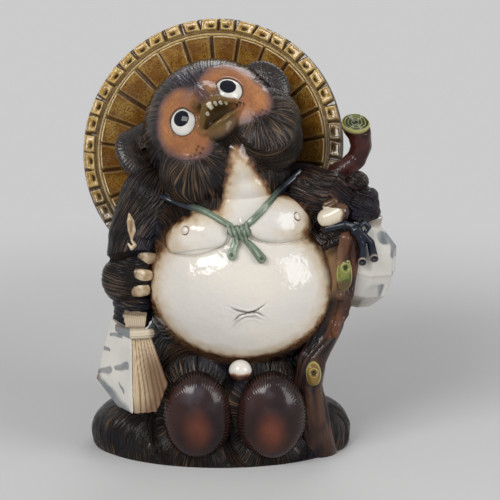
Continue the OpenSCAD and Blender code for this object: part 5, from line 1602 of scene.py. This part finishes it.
p -= np.maximum(beyond, 0)[:, None] * cut_face
write(mesh, place(p))
mark(mesh, "stroke", np.stack([turn * 13, along, 0 * along], 1) * MM)
mark(mesh, "ridge", bark * (1 - on_branch))
mark(mesh, "red", np.clip(np.maximum(strand, soft(70, 30, p[:, 2]) * 0.2), 0, 1))
mark(mesh, "tan", soft(150, 165, p[:, 2]) * soft(240, 228, p[:, 2]) * soft(97, 88, p[:, 0]))
mark(mesh, "branch", on_branch)
glaze = Glaze("bark_glaze", 0.16)
glaze.shader.inputs["Specular IOR Level"].default_value = 0.3
mottle = glaze.group(glaze_mottle, Pools=45.0, Speckle=320.0)
grain = glaze.group(comb_lines, Stroke=glaze.marked("stroke", True), Lines=480.0, Length=60.0)["Ridge"]
ridge = glaze.times(glaze.span(glaze.marked("ridge"), 0.25, 0.95),
                    glaze.span(mottle["Pool"], 0, 1, 0.4, 1.0))
colour = glaze.mix((0.006, 0.005, 0.008), (0.085, 0.038, 0.021), ridge)
colour = glaze.mix(colour, (0.12, 0.048, 0.024),
                   glaze.times(glaze.marked("red"), glaze.span(mottle["Pool"], 0, 1, 0.2, 1.0)))
colour = glaze.mix(colour, (0.33, 0.19, 0.095),
                   glaze.times(glaze.marked("tan"), glaze.span(glaze.marked("ridge"), 0.3, 0.9, 0.1, 0.8)))
colour = glaze.mix(colour, glaze.mix((0.012, 0.004, 0.004), (0.055, 0.014, 0.011), mottle["Pool"]),
                   glaze.marked("branch"))
glaze.colour(colour)
glaze.relief(glaze.math("ADD", glaze.times(grain, 0.6), glaze.noise(240.0, 2)), 0.5)
mesh.materials.append(glaze.material)
stump_clay = piece("stump_clay", mesh)
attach(stump_clay, "root")
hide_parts("tree_trunk", "tree_root", "bark_strands", "branch")


# Cut branch and knots. A sawn end with rings turned in a spiral, and two oval knots with a ring
# pressed in each, in yellow-green glaze with dark hollows.
STUMP_KNOTS = [((96.5, -53.5, 178.7), (13.5, 31, 11), (0, 0, 0), (0.5, 7)),
               ((69, -58, 86), (13, 22, 12), (76, 0, 8), (0, 2))]
profile = even([(0.4, 2.0), (10.8, 2.0), (12.4, 2.6), (13, 1.4), (13, -2.5), (9, -3)], 0.3)
mesh = spun("cut_branch", profile, 12, 10)
q = read(mesh)
reach, angle = np.hypot(q[:, 0], q[:, 1]), np.arctan2(q[:, 1], q[:, 0])
top = soft(1.0, 1.8, q[:, 2]) * soft(12.4, 11.6, reach)
ring = np.cos((reach / 3.1 - angle / (2 * np.pi)) * 2 * np.pi + 1.2 * lumps(q / 5, 111)) * top
q[:, 2] += 0.75 * ring - 1.6 * soft(2.6, 1.2, reach) + 0.5 * (lumps(q / 4, 112) - 0.5)
q[:, :2] *= (1 + 0.04 * (lumps(q / 6, 113) - 0.5))[:, None]
write(mesh, place(q @ np.array(turned(CUT_TURN)).T + np.array(CUT_AT)))
mark(mesh, "deep", np.clip(top * (0.5 - 0.5 * ring) + soft(3, 1.5, reach), 0, 1))
mark(mesh, "lip", np.clip(soft(11.2, 12.4, reach) + top * soft(0.75, 1.0, ring) * 0.6, 0, 1))
mark(mesh, "brown", soft(0.5, -1.5, q[:, 2]))
cut = mesh
bm = bmesh.new()
for at, (wide, tall, deep), turn, _ in STUMP_KNOTS:
    spot = Matrix.Translation(Vector(place([at])[0])) @ turned(turn).to_4x4()
    spread = (wide + 1, deep, tall + 1, 1) if turn[0] == 0 else (wide + 1, tall + 1, deep, 1)
    bmesh.ops.create_uvsphere(bm, u_segments=110, v_segments=90, radius=0.5 * MM,
                              matrix=spot @ Matrix.Diagonal(spread))
knots = mesh_of("stump_knots", bm)
shade_smooth(knots)
p, n = faced(knots)
deep, lip, rise = np.zeros(len(p)), np.zeros(len(p)), np.zeros(len(p))
for at, (wide, tall, _), turn, (hx, hz) in STUMP_KNOTS:
    near = np.linalg.norm((p - np.array(at)) / (wide, tall, tall), axis=1) < (0.62 if turn[0] == 0 else 1.2)
    gap = np.hypot(p[:, 0] - at[0] - hx, p[:, 2] - at[2] - hz) + 100 * (1 - near)
    facing = soft(0.0, -0.4, n[:, 1])
    rise += (facing * (1.0 * bell(gap - 3.6, 0.9) - 2.0 * soft(2.8, 1.0, gap))
             + near * 0.9 * (lumps(p / 5, 114) - 0.5))
    deep = np.maximum(deep, facing * soft(2.6, 1.4, gap))
    rim = np.hypot((p[:, 0] - at[0]) / (wide / 2), (p[:, 2] - at[2]) / (tall / 2)) + 100 * (1 - near)
    lip = np.maximum(lip, facing * np.maximum(bell(gap - 4.0, 0.5), soft(0.86, 0.96, rim) * (rim < 3)))
lift(knots, n, rise)
mark(knots, "deep", deep)
mark(knots, "lip", lip)
mark(knots, "brown", soft(176, 170, p[:, 2]) * (p[:, 2] > 120) * 0.8)
mark(knots, "gold", 1.0 * (p[:, 2] < 120))
glaze = Glaze("green_glaze", 0.09)
mottle = glaze.group(glaze_mottle, Pools=90.0, Speckle=400.0)
colour = glaze.mix((0.065, 0.08, 0.014), (0.20, 0.21, 0.045), glaze.span(mottle["Pool"], 0.2, 0.8))
colour = glaze.mix(colour, (0.20, 0.105, 0.020), glaze.times(glaze.marked("gold"), 0.85))
colour = glaze.mix(colour, (0.50, 0.46, 0.17), glaze.times(glaze.marked("lip"), 0.6))
colour = glaze.mix(colour, (0.018, 0.022, 0.012), glaze.marked("deep"))
colour = glaze.mix(colour, (0.10, 0.05, 0.025), glaze.marked("brown"))
glaze.colour(colour)
glaze.relief(glaze.noise(260.0, 1), 0.2)
for name, found, node in (("cut_branch", cut, "branch_slice"), ("stump_knots", knots, "trunk_knots")):
    found.materials.append(glaze.material)
    part = piece(name, found)
    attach(part, "root")
    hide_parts(node)


# Table, studio light and camera. None of them is part of the object.
PHOTO_LENS, SENSOR_W = 107.2, 36  # mm
BACKDROP_GREY = (0.60, 0.60, 0.60, 1)
STUDIO_GREY = (0.62, 0.62, 0.62)
TABLE_REACH = 60  # m, so that its edge is never seen
FADE_FROM, FADE_TO = 0.35, 1.1  # how far from the figure the floor turns into the plain backdrop, in m
PHOTO_TILT = math.radians(13)
PHOTO_FAR = 1.4  # m
PHOTO_MID = Vector((0.0123, -0.0058, 0.189))


def stage_colour(name, colour):
    material = bpy.data.materials.new(name)
    material.use_nodes = True
    nodes, links = material.node_tree.nodes, material.node_tree.links
    shader = nodes["Principled BSDF"]
    shader.inputs["Base Color"].default_value = (*colour, 1)
    shader.inputs["Roughness"].default_value = 0.9
    shader.inputs["Specular IOR Level"].default_value = 0.1
    return material


def plainly_seen(nodes, links):
    """1 for what the camera, a reflection or a refraction sees, 0 for the light that falls on things."""
    ray = nodes.new("ShaderNodeLightPath")
    found = ray.outputs["Is Camera Ray"]
    for other in ("Is Glossy Ray", "Is Transmission Ray"):
        most = nodes.new("ShaderNodeMath")
        most.operation = "MAXIMUM"
        links.new(found, most.inputs[0])
        links.new(ray.outputs[other], most.inputs[1])
        found = most.outputs[0]
    return found


bm = bmesh.new()
bmesh.ops.create_grid(bm, x_segments=1, y_segments=1, size=TABLE_REACH)
table_mesh = mesh_of("table", bm)
table = piece("table", table_mesh)
paint = stage_colour("table_paint", STUDIO_GREY)
table.data.materials.append(paint)
floor_nodes, floor_links = paint.node_tree.nodes, paint.node_tree.links
where, far, fade, both, plain, join = [floor_nodes.new(kind) for kind in (
    "ShaderNodeTexCoord", "ShaderNodeVectorMath", "ShaderNodeMapRange", "ShaderNodeMath",
    "ShaderNodeEmission", "ShaderNodeMixShader")]
far.operation, both.operation = "LENGTH", "MULTIPLY"
fade.interpolation_type = "SMOOTHSTEP"
fade.inputs["From Min"].default_value = FADE_FROM
fade.inputs["From Max"].default_value = FADE_TO
plain.inputs["Color"].default_value = BACKDROP_GREY
floor_links.new(where.outputs["Object"], far.inputs[0])
floor_links.new(far.outputs["Value"], fade.inputs["Value"])
floor_links.new(fade.outputs[0], both.inputs[0])
floor_links.new(plainly_seen(floor_nodes, floor_links), both.inputs[1])
floor_links.new(both.outputs[0], join.inputs[0])
floor_links.new(floor_nodes["Principled BSDF"].outputs[0], join.inputs[1])
floor_links.new(plain.outputs[0], join.inputs[2])
floor_links.new(join.outputs[0], floor_nodes["Material Output"].inputs["Surface"])

world = bpy.data.worlds.new("studio")
bpy.context.scene.world = world
world.use_nodes = True
studio, sky = world.node_tree, world.node_tree.nodes["Background"]
sky.inputs["Color"].default_value = (*STUDIO_GREY, 1)
sky.inputs["Strength"].default_value = 0.4
backdrop, chosen = [studio.nodes.new(kind) for kind in ("ShaderNodeBackground", "ShaderNodeMixShader")]
backdrop.inputs["Color"].default_value = BACKDROP_GREY
studio.links.new(plainly_seen(studio.nodes, studio.links), chosen.inputs[0])
studio.links.new(sky.outputs[0], chosen.inputs[1])
studio.links.new(backdrop.outputs[0], chosen.inputs[2])
studio.links.new(chosen.outputs[0], studio.nodes["World Output"].inputs["Surface"])


def lamp(name, at, size, power, target=(0, 0, 0.2)):
    data = bpy.data.lights.new(name, "AREA")
    data.shape = "RECTANGLE"
    data.size, data.size_y = size
    data.energy = power
    found = bpy.data.objects.new(name, data)
    bpy.context.scene.collection.objects.link(found)
    found.location = at
    found.rotation_euler = (Vector(target) - Vector(at)).to_track_quat("-Z", "Y").to_euler()


lamp("window", (-0.9, -1.3, 1.3), (1.0, 0.7), 23)
lamp("fill", (1.3, -0.9, 0.8), (0.8, 1.0), 13)
lamp("back_light", (0.3, 1.4, 1.3), (1.2, 0.8), 8)

eye = bpy.data.cameras.new("photo_camera")
eye.lens = PHOTO_LENS
eye.sensor_width = SENSOR_W
camera = bpy.data.objects.new("photo_camera", eye)
bpy.context.scene.collection.objects.link(camera)
look = Vector((0, math.cos(PHOTO_TILT), -math.sin(PHOTO_TILT)))
camera.location = PHOTO_MID - look * PHOTO_FAR
camera.rotation_euler = look.to_track_quat("-Z", "Y").to_euler()
bpy.context.scene.camera = camera
bpy.context.scene.view_settings.view_transform = "Standard"
